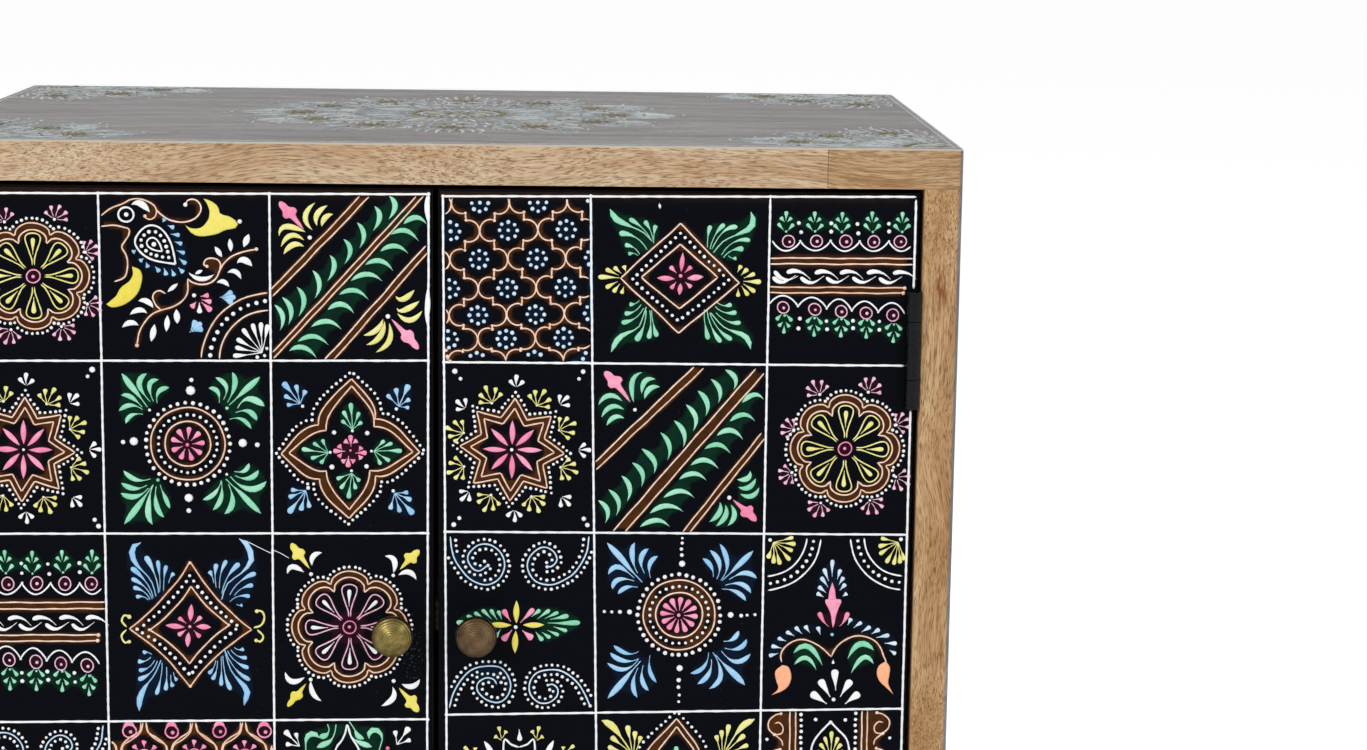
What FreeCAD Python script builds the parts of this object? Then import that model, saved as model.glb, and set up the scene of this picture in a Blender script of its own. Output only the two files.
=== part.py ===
"""Two-door nightstand in mango wood: a dowelled carcass on four tapered legs, with painted slab doors.

Millimetres. +Z is up, the doors face -Y, and the origin is the middle of the footprint on the floor.
"""
import FreeCAD
import Part
import math
import os

Vector = FreeCAD.Vector

# Carcass
WIDTH = 450.0
DEPTH = 300.0
HEIGHT = 600.0
LEG_HEIGHT = 176.0
TOP_THICKNESS = 17.5
SIDE_THICKNESS = 16.5
BOTTOM_THICKNESS = 17.5
BACK_THICKNESS = 5.0
REBATE_WIDTH = 8.0
CORNER_RADIUS = 3.0
TOP_EASE = 1.2
EDGE_EASE = 1.2

# Doors
DOOR_THICKNESS = 16.0
DOOR_RECESS = 1.0
DOOR_REVEAL = 2.0
DOOR_EASE = 0.8
SWING_CLEARANCE = 0.3

# Butt hinges, two on each door
HINGE_LENGTH = 51.0
HINGE_SETBACK = 67.5
BARREL_RADIUS = 3.0
BARREL_PROUD = 1.0
PIN_RADIUS = 1.25
LEAF_THICKNESS = 1.2
LEAF_GAP = 0.8
LEAF_BACKSET = 2.0
KNUCKLE_GAP = 0.3
BARREL_CLEARANCE = 0.3
LEAF_SCREW_LENGTH = 12.0

# Knobs
KNOB_DIAMETER = 18.0
KNOB_PROJECTION = 20.0
KNOB_SETBACK = 17.0
KNOB_BASE_DIAMETER = 12.0
KNOB_BASE_THICKNESS = 2.0
KNOB_NECK_DIAMETER = 8.0
KNOB_RIM = 2.5
KNOB_DOME = 5.0
KNOB_SCREW_RADIUS = 2.0
KNOB_SCREW_GRIP = 9.0
KNOB_SCREW_HEAD_RADIUS = 4.0
KNOB_SCREW_HEAD_HEIGHT = 2.6
WASHER_RADIUS = 6.0
WASHER_THICKNESS = 0.8

# Shelf on four pegs
SHELF_THICKNESS = 14.0
SHELF_HEIGHT = 186.0
SHELF_SETBACK = 12.0
SHELF_CLEARANCE = 0.5
PEG_RADIUS = 3.0
PEG_COLLAR_RADIUS = 4.5
PEG_COLLAR_THICKNESS = 1.5
PEG_DEPTH = 9.0
PEG_REACH = 11.0
PEG_SETBACK = 40.0

# Dowels
DOWEL_RADIUS = 4.0
DOWEL_SHORT_END = 10.0
DOWEL_LONG_END = 20.0
DOWEL_SETBACK = 35.0
DOWEL_COUNT = 3
DOWEL_SPACE = 0.5

# Legs, each on a hanger bolt
LEG_TOP_SIZE = 40.0
LEG_FOOT_SIZE = 26.0
LEG_INSET = 12.0
LEG_EASE = 2.0
BOLT_RADIUS = 4.0
BOLT_IN_LEG = 40.0
BOLT_IN_NUT = 13.0
NUT_RADIUS = 6.0
NUT_LENGTH = 14.0
GLIDE_RADIUS = 10.0
GLIDE_THICKNESS = 4.0
GLIDE_NAIL_RADIUS = 1.2
GLIDE_NAIL_LENGTH = 14.0

# Magnetic catches under the top, one for each door
CATCH_SETBACK = 45.0
CATCH_WIDTH = 46.0
CATCH_DEPTH = 15.0
CATCH_HEIGHT = 12.0
CATCH_LUG = 9.0
CATCH_LUG_THICKNESS = 3.0
CATCH_EASE = 0.8
MAGNET_WIDTH = 20.0
MAGNET_DEPTH = 10.0
MAGNET_HEIGHT = 6.0
MAGNET_PROUD = 0.4
CATCH_GAP = 0.3
CATCH_SCREW_LENGTH = 13.0
STRIKE_WIDTH = 26.0
STRIKE_HEIGHT = 8.0
STRIKE_THICKNESS = 1.2
STRIKE_SCREW_LENGTH = 10.0

# Small countersunk screws of the hinges, catches, strikes and back panel
SCREW_RADIUS = 1.4
SCREW_HEAD_RADIUS = 2.8
SCREW_SLOT_WIDTH = 0.7
SCREW_SLOT_DEPTH = 0.6
BACK_SCREW_LENGTH = 14.0
BACK_SCREW_COUNT_UP = 4
BACK_SCREW_COUNT_ACROSS = 3
BACK_SCREW_SETBACK = 40.0

# Clearance round anything that sits in a hole or a rebate
FIT = 0.05
REBATE_PLAY = 0.3

# Places that follow from the sizes
KNOB_REACH = KNOB_PROJECTION - DOOR_RECESS
FRONT = (KNOB_REACH - DEPTH) / 2
BACK = FRONT + DEPTH
SIDE_OUT = WIDTH / 2
SIDE_IN = SIDE_OUT - SIDE_THICKNESS
FLOOR_TOP = LEG_HEIGHT + BOTTOM_THICKNESS
TOP_UNDER = HEIGHT - TOP_THICKNESS
PANEL_FRONT = BACK - BACK_THICKNESS
DOOR_FRONT = FRONT + DOOR_RECESS
DOOR_BACK = DOOR_FRONT + DOOR_THICKNESS
DOOR_LOW = FLOOR_TOP + DOOR_REVEAL
DOOR_HIGH = TOP_UNDER - DOOR_REVEAL
DOOR_EDGE = SIDE_IN - LEAF_THICKNESS - LEAF_GAP
HINGE_X = SIDE_IN - BARREL_RADIUS - BARREL_CLEARANCE
HINGE_Y = FRONT - BARREL_PROUD
HINGE_CENTRES = {"upper": DOOR_HIGH - HINGE_SETBACK, "lower": DOOR_LOW + HINGE_SETBACK}
LEAF_END = DOOR_BACK - LEAF_BACKSET

# The back corner of a door's meeting edge swings on this radius, and stays on its own side of the middle.
SWING_RADIUS = HINGE_X - SWING_CLEARANCE
MEETING_EDGE = HINGE_X - math.sqrt(SWING_RADIUS ** 2 - (DOOR_BACK - HINGE_Y) ** 2)
KNOB_X = MEETING_EDGE + KNOB_SETBACK
KNOB_Z = (DOOR_LOW + DOOR_HIGH) / 2

SIDES = {"left": -1, "right": 1}


def box(x_range, y_range, z_range):
    """A block between two corners, whichever way round each range is given."""
    low = Vector(min(x_range), min(y_range), min(z_range))
    high = Vector(max(x_range), max(y_range), max(z_range))
    size = high - low
    return Part.makeBox(size.x, size.y, size.z, low)


def rod(radius, start, end):
    """A round bar from one point to another."""
    start, end = Vector(*start), Vector(*end)
    return Part.makeCylinder(radius, (end - start).Length, start, end - start)


def turned(profile, start, direction):
    """A solid of revolution: profile is (distance along, radius) pairs, closed back onto the axis."""
    points = [Vector(radius, 0, along) for along, radius in profile]
    points = [Vector(0, 0, profile[0][0])] + points + [Vector(0, 0, profile[-1][0])]
    distinct = [p for i, p in enumerate(points) if i == 0 or (p - points[i - 1]).Length > 1e-6]
    face = Part.Face(Part.makePolygon(distinct + [distinct[0]]))
    solid = face.revolve(Vector(0, 0, 0), Vector(0, 0, 1), 360)
    turn = FreeCAD.Rotation(Vector(0, 0, 1), Vector(*direction))
    solid.Placement = FreeCAD.Placement(Vector(*start), turn)
    return solid


def eased(solid, radius, chosen):
    """The solid with the straight or round edges that chosen(edge) picks rounded to the radius."""
    return solid.makeFillet(radius, [edge for edge in solid.Edges if chosen(edge)])


def upright(edge):
    """Whether an edge runs along Z."""
    first, last = edge.Vertexes[0].Point, edge.Vertexes[-1].Point
    return abs(first.x - last.x) < 1e-6 and abs(first.y - last.y) < 1e-6


def level(edge, height):
    """Whether an edge lies in the plane at that height."""
    return abs(edge.BoundBox.ZMin - height) < 1e-6 and abs(edge.BoundBox.ZMax - height) < 1e-6


def at_x(edge, x):
    """Whether an edge lies in the plane at that x."""
    return abs(edge.BoundBox.XMin - x) < 1e-6 and abs(edge.BoundBox.XMax - x) < 1e-6


def at_front(edge, y):
    """Whether an edge lies in a board's front plane, at that y."""
    return edge.BoundBox.YMax < y + 1e-6


def spaced(first, last, count):
    """Evenly spaced places from first to last."""
    return [first + (last - first) * i / (count - 1) for i in range(count)]


def mirrored(shape):
    """The shape's twin on the other side of the middle."""
    return shape.mirror(Vector(0, 0, 0), Vector(1, 0, 0))


def on_side(shape, side):
    """A shape made for the right side, or its twin on the left."""
    return shape if side > 0 else mirrored(shape)


def screw_profile(length, play=0.0):
    """Countersunk wood screw, from the flat of its head at 0 down to its point."""
    head = SCREW_HEAD_RADIUS - SCREW_RADIUS
    tip = SCREW_RADIUS * 2
    return [
        (0, SCREW_HEAD_RADIUS + play),
        (head, SCREW_RADIUS + play),
        (length - tip, SCREW_RADIUS + play),
        (length + play, play),
    ]


def screw(start, direction, length):
    """A slotted countersunk screw driven from start along direction."""
    body = turned(screw_profile(length), start, direction)
    along = Vector(*direction)
    across = Vector(0, 0, 1) if abs(along.z) < 0.5 else Vector(1, 0, 0)
    reach = across * SCREW_HEAD_RADIUS * 2
    wide = along.cross(across) * (SCREW_SLOT_WIDTH / 2)
    deep = along * SCREW_SLOT_DEPTH
    a, b = Vector(*start) - reach - deep - wide, Vector(*start) + reach + deep + wide
    return body.cut(box((a.x, b.x), (a.y, b.y), (a.z, b.z)))


def screw_hole(start, direction, length):
    """The seat and pilot hole that a screw at the same place goes into."""
    return turned(screw_profile(length, FIT), start, direction)


def cut_all(solid, tools):
    """The solid with every tool taken out of it."""
    return solid.cut(Part.makeCompound(tools)) if tools else solid


# Places of what repeats

TOP_DOWEL_Y = spaced(FRONT + DOWEL_SETBACK, PANEL_FRONT - DOWEL_SETBACK, DOWEL_COUNT)
LEG_CENTRE_X = SIDE_OUT - LEG_INSET - LEG_TOP_SIZE / 2
LEG_CENTRE_Y = {
    "front": FRONT + LEG_INSET + LEG_TOP_SIZE / 2,
    "rear": BACK - LEG_INSET - LEG_TOP_SIZE / 2,
}
BOTTOM_DOWEL_Y = spaced(
    LEG_CENTRE_Y["front"] + DOWEL_SETBACK, LEG_CENTRE_Y["rear"] - DOWEL_SETBACK, DOWEL_COUNT
)
SHELF_FRONT = DOOR_BACK + SHELF_SETBACK
SHELF_BACK = PANEL_FRONT - SHELF_CLEARANCE
SHELF_UNDER = FLOOR_TOP + SHELF_HEIGHT
PEG_Y = (SHELF_FRONT + PEG_SETBACK, SHELF_BACK - PEG_SETBACK)
PEG_Z = SHELF_UNDER - PEG_RADIUS
LEAF_SCREW_Y = (HINGE_Y + BARREL_RADIUS + LEAF_END) / 2
LEAF_SCREW_RISE = HINGE_LENGTH / 4
PANEL_OUT = SIDE_IN + REBATE_WIDTH - REBATE_PLAY
PANEL_LOW = FLOOR_TOP - REBATE_WIDTH + REBATE_PLAY
PANEL_HIGH = TOP_UNDER + REBATE_WIDTH - REBATE_PLAY
REBATE_MIDDLE = REBATE_WIDTH / 2
CATCH_FRONT = DOOR_BACK + STRIKE_THICKNESS + CATCH_GAP + MAGNET_PROUD
CATCH_SCREW_Y = CATCH_FRONT + CATCH_DEPTH / 2
CATCH_SCREW_OFFSET = CATCH_WIDTH / 2 - CATCH_LUG / 2
CATCH_MIDDLE_Z = TOP_UNDER - CATCH_HEIGHT / 2
STRIKE_Z = CATCH_MIDDLE_Z


def back_screw_places():
    """Where the back panel's screws stand, as (x, z): up both sides, and along the top and bottom boards."""
    side_x = SIDE_IN + REBATE_MIDDLE
    up = spaced(FLOOR_TOP + BACK_SCREW_SETBACK, TOP_UNDER - BACK_SCREW_SETBACK, BACK_SCREW_COUNT_UP)
    across = spaced(-SIDE_IN + BACK_SCREW_SETBACK, SIDE_IN - BACK_SCREW_SETBACK, BACK_SCREW_COUNT_ACROSS)
    upright_rows = [(side * side_x, z) for side in SIDES.values() for z in up]
    level_rows = [(x, z) for z in (FLOOR_TOP - REBATE_MIDDLE, TOP_UNDER + REBATE_MIDDLE) for x in across]
    return upright_rows + level_rows


def back_screw_holes():
    """One hole for each screw of the back panel, from the panel's outer face forwards."""
    return [screw_hole((x, BACK, z), (0, -1, 0), BACK_SCREW_LENGTH) for x, z in back_screw_places()]


def catch_screw_places():
    """Where the two catches' screws go up into the top board, as (x, y)."""
    return [
        (side * CATCH_SETBACK + offset, CATCH_SCREW_Y)
        for side in SIDES.values()
        for offset in (-CATCH_SCREW_OFFSET, CATCH_SCREW_OFFSET)
    ]


# The underside of a catch's lugs, where its screw heads sit.
CATCH_SCREW_Z = TOP_UNDER - CATCH_LUG_THICKNESS


def catch_screw_holes():
    """One hole for each screw of the catches, from the lug upwards."""
    return [screw_hole((x, y, CATCH_SCREW_Z), (0, 0, 1), CATCH_SCREW_LENGTH) for x, y in catch_screw_places()]


# Carcass boards

def top_dowel(side, y, play=0.0, space=0.0):
    """An upright dowel between a side board and the top."""
    x = side * (SIDE_OUT - SIDE_THICKNESS / 2)
    low, high = TOP_UNDER - DOWEL_LONG_END - space, TOP_UNDER + DOWEL_SHORT_END + space
    return rod(DOWEL_RADIUS + play, (x, y, low), (x, y, high))


def bottom_dowel(side, y, play=0.0, space=0.0):
    """A level dowel between the bottom board and a side board."""
    z = LEG_HEIGHT + BOTTOM_THICKNESS / 2
    near, far = SIDE_IN - DOWEL_LONG_END - space, SIDE_IN + DOWEL_SHORT_END + space
    return rod(DOWEL_RADIUS + play, (side * near, y, z), (side * far, y, z))


def on_both_sides(maker, places):
    """One of the maker's pieces at every place along both side boards, as a group."""
    return Part.makeCompound([maker(side, y) for side in SIDES.values() for y in places])


def top_board():
    """Top over both sides, with eased upper edges and a rebate for the back."""
    board = box((-SIDE_OUT, SIDE_OUT), (FRONT, BACK), (TOP_UNDER, HEIGHT))
    board = eased(board, CORNER_RADIUS, upright)
    board = eased(board, TOP_EASE, lambda edge: level(edge, HEIGHT))
    rebate_out = SIDE_IN + REBATE_WIDTH
    rebate = box((-rebate_out, rebate_out), (PANEL_FRONT, BACK), (TOP_UNDER, TOP_UNDER + REBATE_WIDTH))
    dowels = [top_dowel(side, y, FIT, DOWEL_SPACE) for side in SIDES.values() for y in TOP_DOWEL_Y]
    return cut_all(board, [rebate] + dowels + back_screw_holes() + catch_screw_holes())


def side_board(side):
    """Side under the top, down to the legs, rebated for the back."""
    board = box((side * SIDE_IN, side * SIDE_OUT), (FRONT, BACK), (LEG_HEIGHT, TOP_UNDER))
    board = eased(board, CORNER_RADIUS, lambda edge: upright(edge) and at_x(edge, side * SIDE_OUT))
    board = eased(board, DOOR_EASE, lambda edge: at_x(edge, side * SIDE_IN) and at_front(edge, FRONT))
    rebate = box(
        (side * SIDE_IN, side * (SIDE_IN + REBATE_WIDTH)),
        (PANEL_FRONT, BACK),
        (FLOOR_TOP - REBATE_WIDTH, TOP_UNDER),
    )
    dowels = [top_dowel(side, y, FIT, DOWEL_SPACE) for y in TOP_DOWEL_Y]
    dowels += [bottom_dowel(side, y, FIT, DOWEL_SPACE) for y in BOTTOM_DOWEL_Y]
    peg_end = SIDE_IN + PEG_DEPTH + DOWEL_SPACE
    pegs = [rod(PEG_RADIUS + FIT, (side * SIDE_IN, y, PEG_Z), (side * peg_end, y, PEG_Z)) for y in PEG_Y]
    screws = [
        on_side(hole, side) for centre in HINGE_CENTRES.values() for hole in leaf_screws(centre, 1, screw_hole)
    ]
    return cut_all(board, [rebate] + dowels + pegs + screws + back_screw_holes())


def bottom_board():
    """Bottom between the sides, drilled for the legs' nuts."""
    board = box((-SIDE_IN, SIDE_IN), (FRONT, BACK), (LEG_HEIGHT, FLOOR_TOP))
    rebate = box((-SIDE_IN, SIDE_IN), (PANEL_FRONT, BACK), (FLOOR_TOP - REBATE_WIDTH, FLOOR_TOP))
    dowels = [bottom_dowel(side, y, FIT, DOWEL_SPACE) for side in SIDES.values() for y in BOTTOM_DOWEL_Y]
    nut_top = LEG_HEIGHT + NUT_LENGTH
    nuts = [
        rod(NUT_RADIUS + FIT, (x, y, LEG_HEIGHT), (x, y, nut_top))
        for x in (-LEG_CENTRE_X, LEG_CENTRE_X)
        for y in LEG_CENTRE_Y.values()
    ]
    return cut_all(board, [rebate] + dowels + nuts + back_screw_holes())


def back_panel():
    """Thin panel in the rebates."""
    panel = box((-PANEL_OUT, PANEL_OUT), (PANEL_FRONT, BACK), (PANEL_LOW, PANEL_HIGH))
    return cut_all(panel, back_screw_holes())


def inner_shelf():
    """Loose shelf that lies on four pegs."""
    reach = SIDE_IN - SHELF_CLEARANCE
    shelf = box((-reach, reach), (SHELF_FRONT, SHELF_BACK), (SHELF_UNDER, SHELF_UNDER + SHELF_THICKNESS))
    return eased(shelf, EDGE_EASE, lambda edge: at_front(edge, SHELF_FRONT) and not upright(edge))


def shelf_pegs():
    """Collared pegs in the sides, under the shelf."""
    tip, collar_face, seat = SIDE_IN - PEG_REACH, SIDE_IN - PEG_COLLAR_THICKNESS, SIDE_IN + PEG_DEPTH
    above = box((-SIDE_OUT, SIDE_OUT), (FRONT, BACK), (SHELF_UNDER, HEIGHT))
    pegs = []
    for side in SIDES.values():
        for y in PEG_Y:
            bar = rod(PEG_RADIUS, (side * tip, y, PEG_Z), (side * seat, y, PEG_Z))
            collar = rod(PEG_COLLAR_RADIUS, (side * SIDE_IN, y, PEG_Z), (side * collar_face, y, PEG_Z))
            pegs.append(bar.fuse(collar).removeSplitter().cut(above))
    return Part.makeCompound(pegs)


# Legs

def leg(side, end):
    """Square leg: its two outer faces stand upright and its two inner faces taper to the foot."""
    out_y = 1 if end == "rear" else -1
    corner_x = side * (LEG_CENTRE_X + LEG_TOP_SIZE / 2)
    corner_y = LEG_CENTRE_Y[end] + out_y * LEG_TOP_SIZE / 2

    def square(size, height):
        far_x, far_y = corner_x - side * size, corner_y - out_y * size
        corners = [(corner_x, corner_y), (far_x, corner_y), (far_x, far_y), (corner_x, far_y)]
        points = [Vector(x, y, height) for x, y in corners]
        return Part.makePolygon(points + [points[0]])

    foot, head = square(LEG_FOOT_SIZE, GLIDE_THICKNESS), square(LEG_TOP_SIZE, LEG_HEIGHT)
    solid = Part.makeLoft([foot, head], True, True)
    solid = eased(solid, LEG_EASE, lambda edge: edge.BoundBox.ZLength > LEG_HEIGHT / 2)
    x, y = side * LEG_CENTRE_X, LEG_CENTRE_Y[end]
    bolt = rod(BOLT_RADIUS + FIT, (x, y, LEG_HEIGHT - BOLT_IN_LEG - DOWEL_SPACE), (x, y, LEG_HEIGHT))
    nail = glide_nail(side, end, FIT)
    return cut_all(solid, [bolt, nail])


def foot_centre(side, end):
    """Middle of a leg's foot, as (x, y)."""
    out_y = 1 if end == "rear" else -1
    shift = (LEG_TOP_SIZE - LEG_FOOT_SIZE) / 2
    return side * (LEG_CENTRE_X + shift), LEG_CENTRE_Y[end] + out_y * shift


def glide_nail(side, end, play=0.0):
    """The nail of a glide, up into the foot."""
    x, y = foot_centre(side, end)
    return rod(GLIDE_NAIL_RADIUS + play, (x, y, GLIDE_THICKNESS), (x, y, GLIDE_THICKNESS + GLIDE_NAIL_LENGTH))


def leg_glide(side, end):
    """Nail-on glide under a foot."""
    x, y = foot_centre(side, end)
    disc = rod(GLIDE_RADIUS, (x, y, 0), (x, y, GLIDE_THICKNESS))
    disc = eased(disc, EDGE_EASE, lambda edge: level(edge, 0))
    return disc.fuse(glide_nail(side, end)).removeSplitter()


def hanger_bolt(side, end):
    """Bolt out of a leg's top, up into its nut."""
    x, y = side * LEG_CENTRE_X, LEG_CENTRE_Y[end]
    return rod(BOLT_RADIUS, (x, y, LEG_HEIGHT - BOLT_IN_LEG), (x, y, LEG_HEIGHT + BOLT_IN_NUT))


def insert_nut(side, end):
    """Flush insert nut in the bottom board."""
    x, y = side * LEG_CENTRE_X, LEG_CENTRE_Y[end]
    low, high = LEG_HEIGHT, LEG_HEIGHT + NUT_LENGTH
    bore = rod(BOLT_RADIUS + FIT, (x, y, low), (x, y, high))
    return rod(NUT_RADIUS, (x, y, low), (x, y, high)).cut(bore)


def at_each_leg(maker):
    """One of the maker's pieces at every leg, as a group."""
    return Part.makeCompound([maker(side, end) for side in SIDES.values() for end in LEG_CENTRE_Y])


# Hinges, made on the right and mirrored for the left

def on_axis(radius, low, high):
    """A round bar on the hinge axis between two heights."""
    return rod(radius, (HINGE_X, HINGE_Y, low), (HINGE_X, HINGE_Y, high))


def knuckles(centre, spans):
    """Round knuckles on the hinge axis, not bored yet. Spans are (low, high) from the hinge's middle."""
    return [on_axis(BARREL_RADIUS, centre + low, centre + high) for low, high in spans]


HALF_HINGE = HINGE_LENGTH / 2
QUARTER_HINGE = HINGE_LENGTH / 4
OUTER_SPANS = [(-HALF_HINGE, -QUARTER_HINGE), (QUARTER_HINGE, HALF_HINGE)]
MIDDLE_SPANS = [(-QUARTER_HINGE + KNUCKLE_GAP, QUARTER_HINGE - KNUCKLE_GAP)]
LEAF_START = HINGE_Y + BARREL_RADIUS + BARREL_CLEARANCE


def hinge_leaf(centre, face_x, back_x, spans, screws):
    """One leaf: a plate behind the barrel, with webs out to its own knuckles."""
    plate = box((face_x, back_x), (LEAF_START, LEAF_END), (centre - HALF_HINGE, centre + HALF_HINGE))
    web_depth = (HINGE_Y, LEAF_START)
    webs = [box((face_x, back_x), web_depth, (centre + low, centre + high)) for low, high in spans]
    leaf = plate.multiFuse(webs + knuckles(centre, spans)).removeSplitter()
    bore = on_axis(PIN_RADIUS + FIT, centre - HALF_HINGE, centre + HALF_HINGE)
    return cut_all(leaf, [bore] + screws)


def frame_leaf(centre):
    """Leaf on the side board, with the two end knuckles."""
    holes = leaf_screws(centre, 1, screw_hole)
    return hinge_leaf(centre, SIDE_IN - LEAF_THICKNESS, SIDE_IN, OUTER_SPANS, holes)


def door_leaf(centre):
    """Leaf let into the door's edge, with the middle knuckle."""
    holes = leaf_screws(centre, -1, screw_hole)
    return hinge_leaf(centre, DOOR_EDGE, DOOR_EDGE - LEAF_THICKNESS, MIDDLE_SPANS, holes)


def leaf_screws(centre, way, maker):
    """The two screws of a leaf, or their holes: way is 1 into the side board and -1 into the door."""
    x = SIDE_IN - LEAF_THICKNESS if way > 0 else DOOR_EDGE
    return [
        maker((x, LEAF_SCREW_Y, centre + rise), (way, 0, 0), LEAF_SCREW_LENGTH)
        for rise in (-LEAF_SCREW_RISE, LEAF_SCREW_RISE)
    ]


def hinge_pin(centre):
    """Pin through all three knuckles."""
    return on_axis(PIN_RADIUS, centre - HALF_HINGE, centre + HALF_HINGE)


# Doors, made on the right and mirrored for the left

def door_panel():
    """Painted slab, let in for its hinge leaves and drilled for its knob and strike."""
    panel = box((MEETING_EDGE, DOOR_EDGE), (DOOR_FRONT, DOOR_BACK), (DOOR_LOW, DOOR_HIGH))
    panel = eased(panel, DOOR_EASE, lambda edge: at_front(edge, DOOR_FRONT))
    tools = []
    for centre in HINGE_CENTRES.values():
        low, high = centre - HALF_HINGE - FIT, centre + HALF_HINGE + FIT
        tools.append(on_axis(BARREL_RADIUS + BARREL_CLEARANCE, low, high))
        tools.append(box((DOOR_EDGE - LEAF_THICKNESS, SIDE_IN), (HINGE_Y, LEAF_END + FIT), (low, high)))
        tools += leaf_screws(centre, -1, screw_hole)
    bolt_room = KNOB_SCREW_RADIUS + FIT
    tools.append(rod(bolt_room, (KNOB_X, DOOR_FRONT, KNOB_Z), (KNOB_X, DOOR_BACK, KNOB_Z)))
    tools.append(strike_screw(screw_hole))
    return cut_all(panel, tools)


def knob():
    """Turned mushroom knob: flat base, waisted neck and domed head, tapped from behind."""
    rim = KNOB_PROJECTION - KNOB_DOME - KNOB_RIM
    head_radius = KNOB_DIAMETER / 2
    dome_radius = (head_radius ** 2 + KNOB_DOME ** 2) / (2 * KNOB_DOME)
    base, neck = KNOB_BASE_DIAMETER / 2, KNOB_NECK_DIAMETER / 2
    spot = lambda radius, along: Vector(radius, 0, along)
    half_dome = math.asin(head_radius / dome_radius) / 2
    dome_centre = KNOB_PROJECTION - dome_radius
    on_dome = spot(dome_radius * math.sin(half_dome), dome_centre + dome_radius * math.cos(half_dome))
    waist = (KNOB_BASE_THICKNESS + rim) / 2
    edges = [
        Part.makeLine(spot(0, 0), spot(base, 0)),
        Part.makeLine(spot(base, 0), spot(base, KNOB_BASE_THICKNESS)),
        Part.Arc(spot(base, KNOB_BASE_THICKNESS), spot(neck, waist), spot(head_radius, rim)).toShape(),
        Part.makeLine(spot(head_radius, rim), spot(head_radius, rim + KNOB_RIM)),
        Part.Arc(spot(head_radius, rim + KNOB_RIM), on_dome, spot(0, KNOB_PROJECTION)).toShape(),
        Part.makeLine(spot(0, KNOB_PROJECTION), spot(0, 0)),
    ]
    solid = Part.Face(Part.Wire(edges)).revolve(Vector(0, 0, 0), Vector(0, 0, 1), 360)
    solid.Placement = FreeCAD.Placement(
        Vector(KNOB_X, DOOR_FRONT, KNOB_Z), FreeCAD.Rotation(Vector(0, 0, 1), Vector(0, -1, 0))
    )
    hole_end = DOOR_FRONT - KNOB_SCREW_GRIP - FIT
    return solid.cut(rod(KNOB_SCREW_RADIUS + FIT, (KNOB_X, DOOR_FRONT, KNOB_Z), (KNOB_X, hole_end, KNOB_Z)))


def knob_washer():
    """Washer under the knob screw's head."""
    seat = DOOR_BACK + WASHER_THICKNESS
    disc = rod(WASHER_RADIUS, (KNOB_X, DOOR_BACK, KNOB_Z), (KNOB_X, seat, KNOB_Z))
    return disc.cut(rod(KNOB_SCREW_RADIUS + FIT, (KNOB_X, DOOR_BACK, KNOB_Z), (KNOB_X, seat, KNOB_Z)))


def knob_screw():
    """Slotted screw from inside the door into the knob."""
    seat = DOOR_BACK + WASHER_THICKNESS
    crown = seat + KNOB_SCREW_HEAD_HEIGHT
    shank = rod(KNOB_SCREW_RADIUS, (KNOB_X, seat, KNOB_Z), (KNOB_X, DOOR_FRONT - KNOB_SCREW_GRIP, KNOB_Z))
    head = rod(KNOB_SCREW_HEAD_RADIUS, (KNOB_X, seat, KNOB_Z), (KNOB_X, crown, KNOB_Z))
    head = eased(head, EDGE_EASE, lambda edge: edge.BoundBox.YMin > crown - 1e-6)
    slot = box(
        (KNOB_X - KNOB_SCREW_HEAD_RADIUS, KNOB_X + KNOB_SCREW_HEAD_RADIUS),
        (crown - SCREW_SLOT_DEPTH * 2, crown),
        (KNOB_Z - SCREW_SLOT_WIDTH / 2, KNOB_Z + SCREW_SLOT_WIDTH / 2),
    )
    return shank.fuse(head).removeSplitter().cut(slot)


def strike_plate():
    """Steel plate on the door's back that the magnet holds."""
    half = STRIKE_WIDTH / 2
    plate = box(
        (CATCH_SETBACK - half, CATCH_SETBACK + half),
        (DOOR_BACK, DOOR_BACK + STRIKE_THICKNESS),
        (STRIKE_Z - STRIKE_HEIGHT / 2, STRIKE_Z + STRIKE_HEIGHT / 2),
    )
    plate = eased(plate, EDGE_EASE, lambda edge: edge.BoundBox.YLength > STRIKE_THICKNESS / 2)
    return plate.cut(strike_screw(screw_hole))


def strike_screw(maker):
    """The strike's one screw, or its hole."""
    return maker((CATCH_SETBACK, DOOR_BACK + STRIKE_THICKNESS, STRIKE_Z), (0, -1, 0), STRIKE_SCREW_LENGTH)


# Magnetic catches

def catch_magnet():
    """Block magnet whose face stands a little proud of its housing."""
    half = MAGNET_WIDTH / 2
    return box(
        (CATCH_SETBACK - half, CATCH_SETBACK + half),
        (CATCH_FRONT - MAGNET_PROUD, CATCH_FRONT - MAGNET_PROUD + MAGNET_DEPTH),
        (CATCH_MIDDLE_Z - MAGNET_HEIGHT / 2, CATCH_MIDDLE_Z + MAGNET_HEIGHT / 2),
    )


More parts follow.
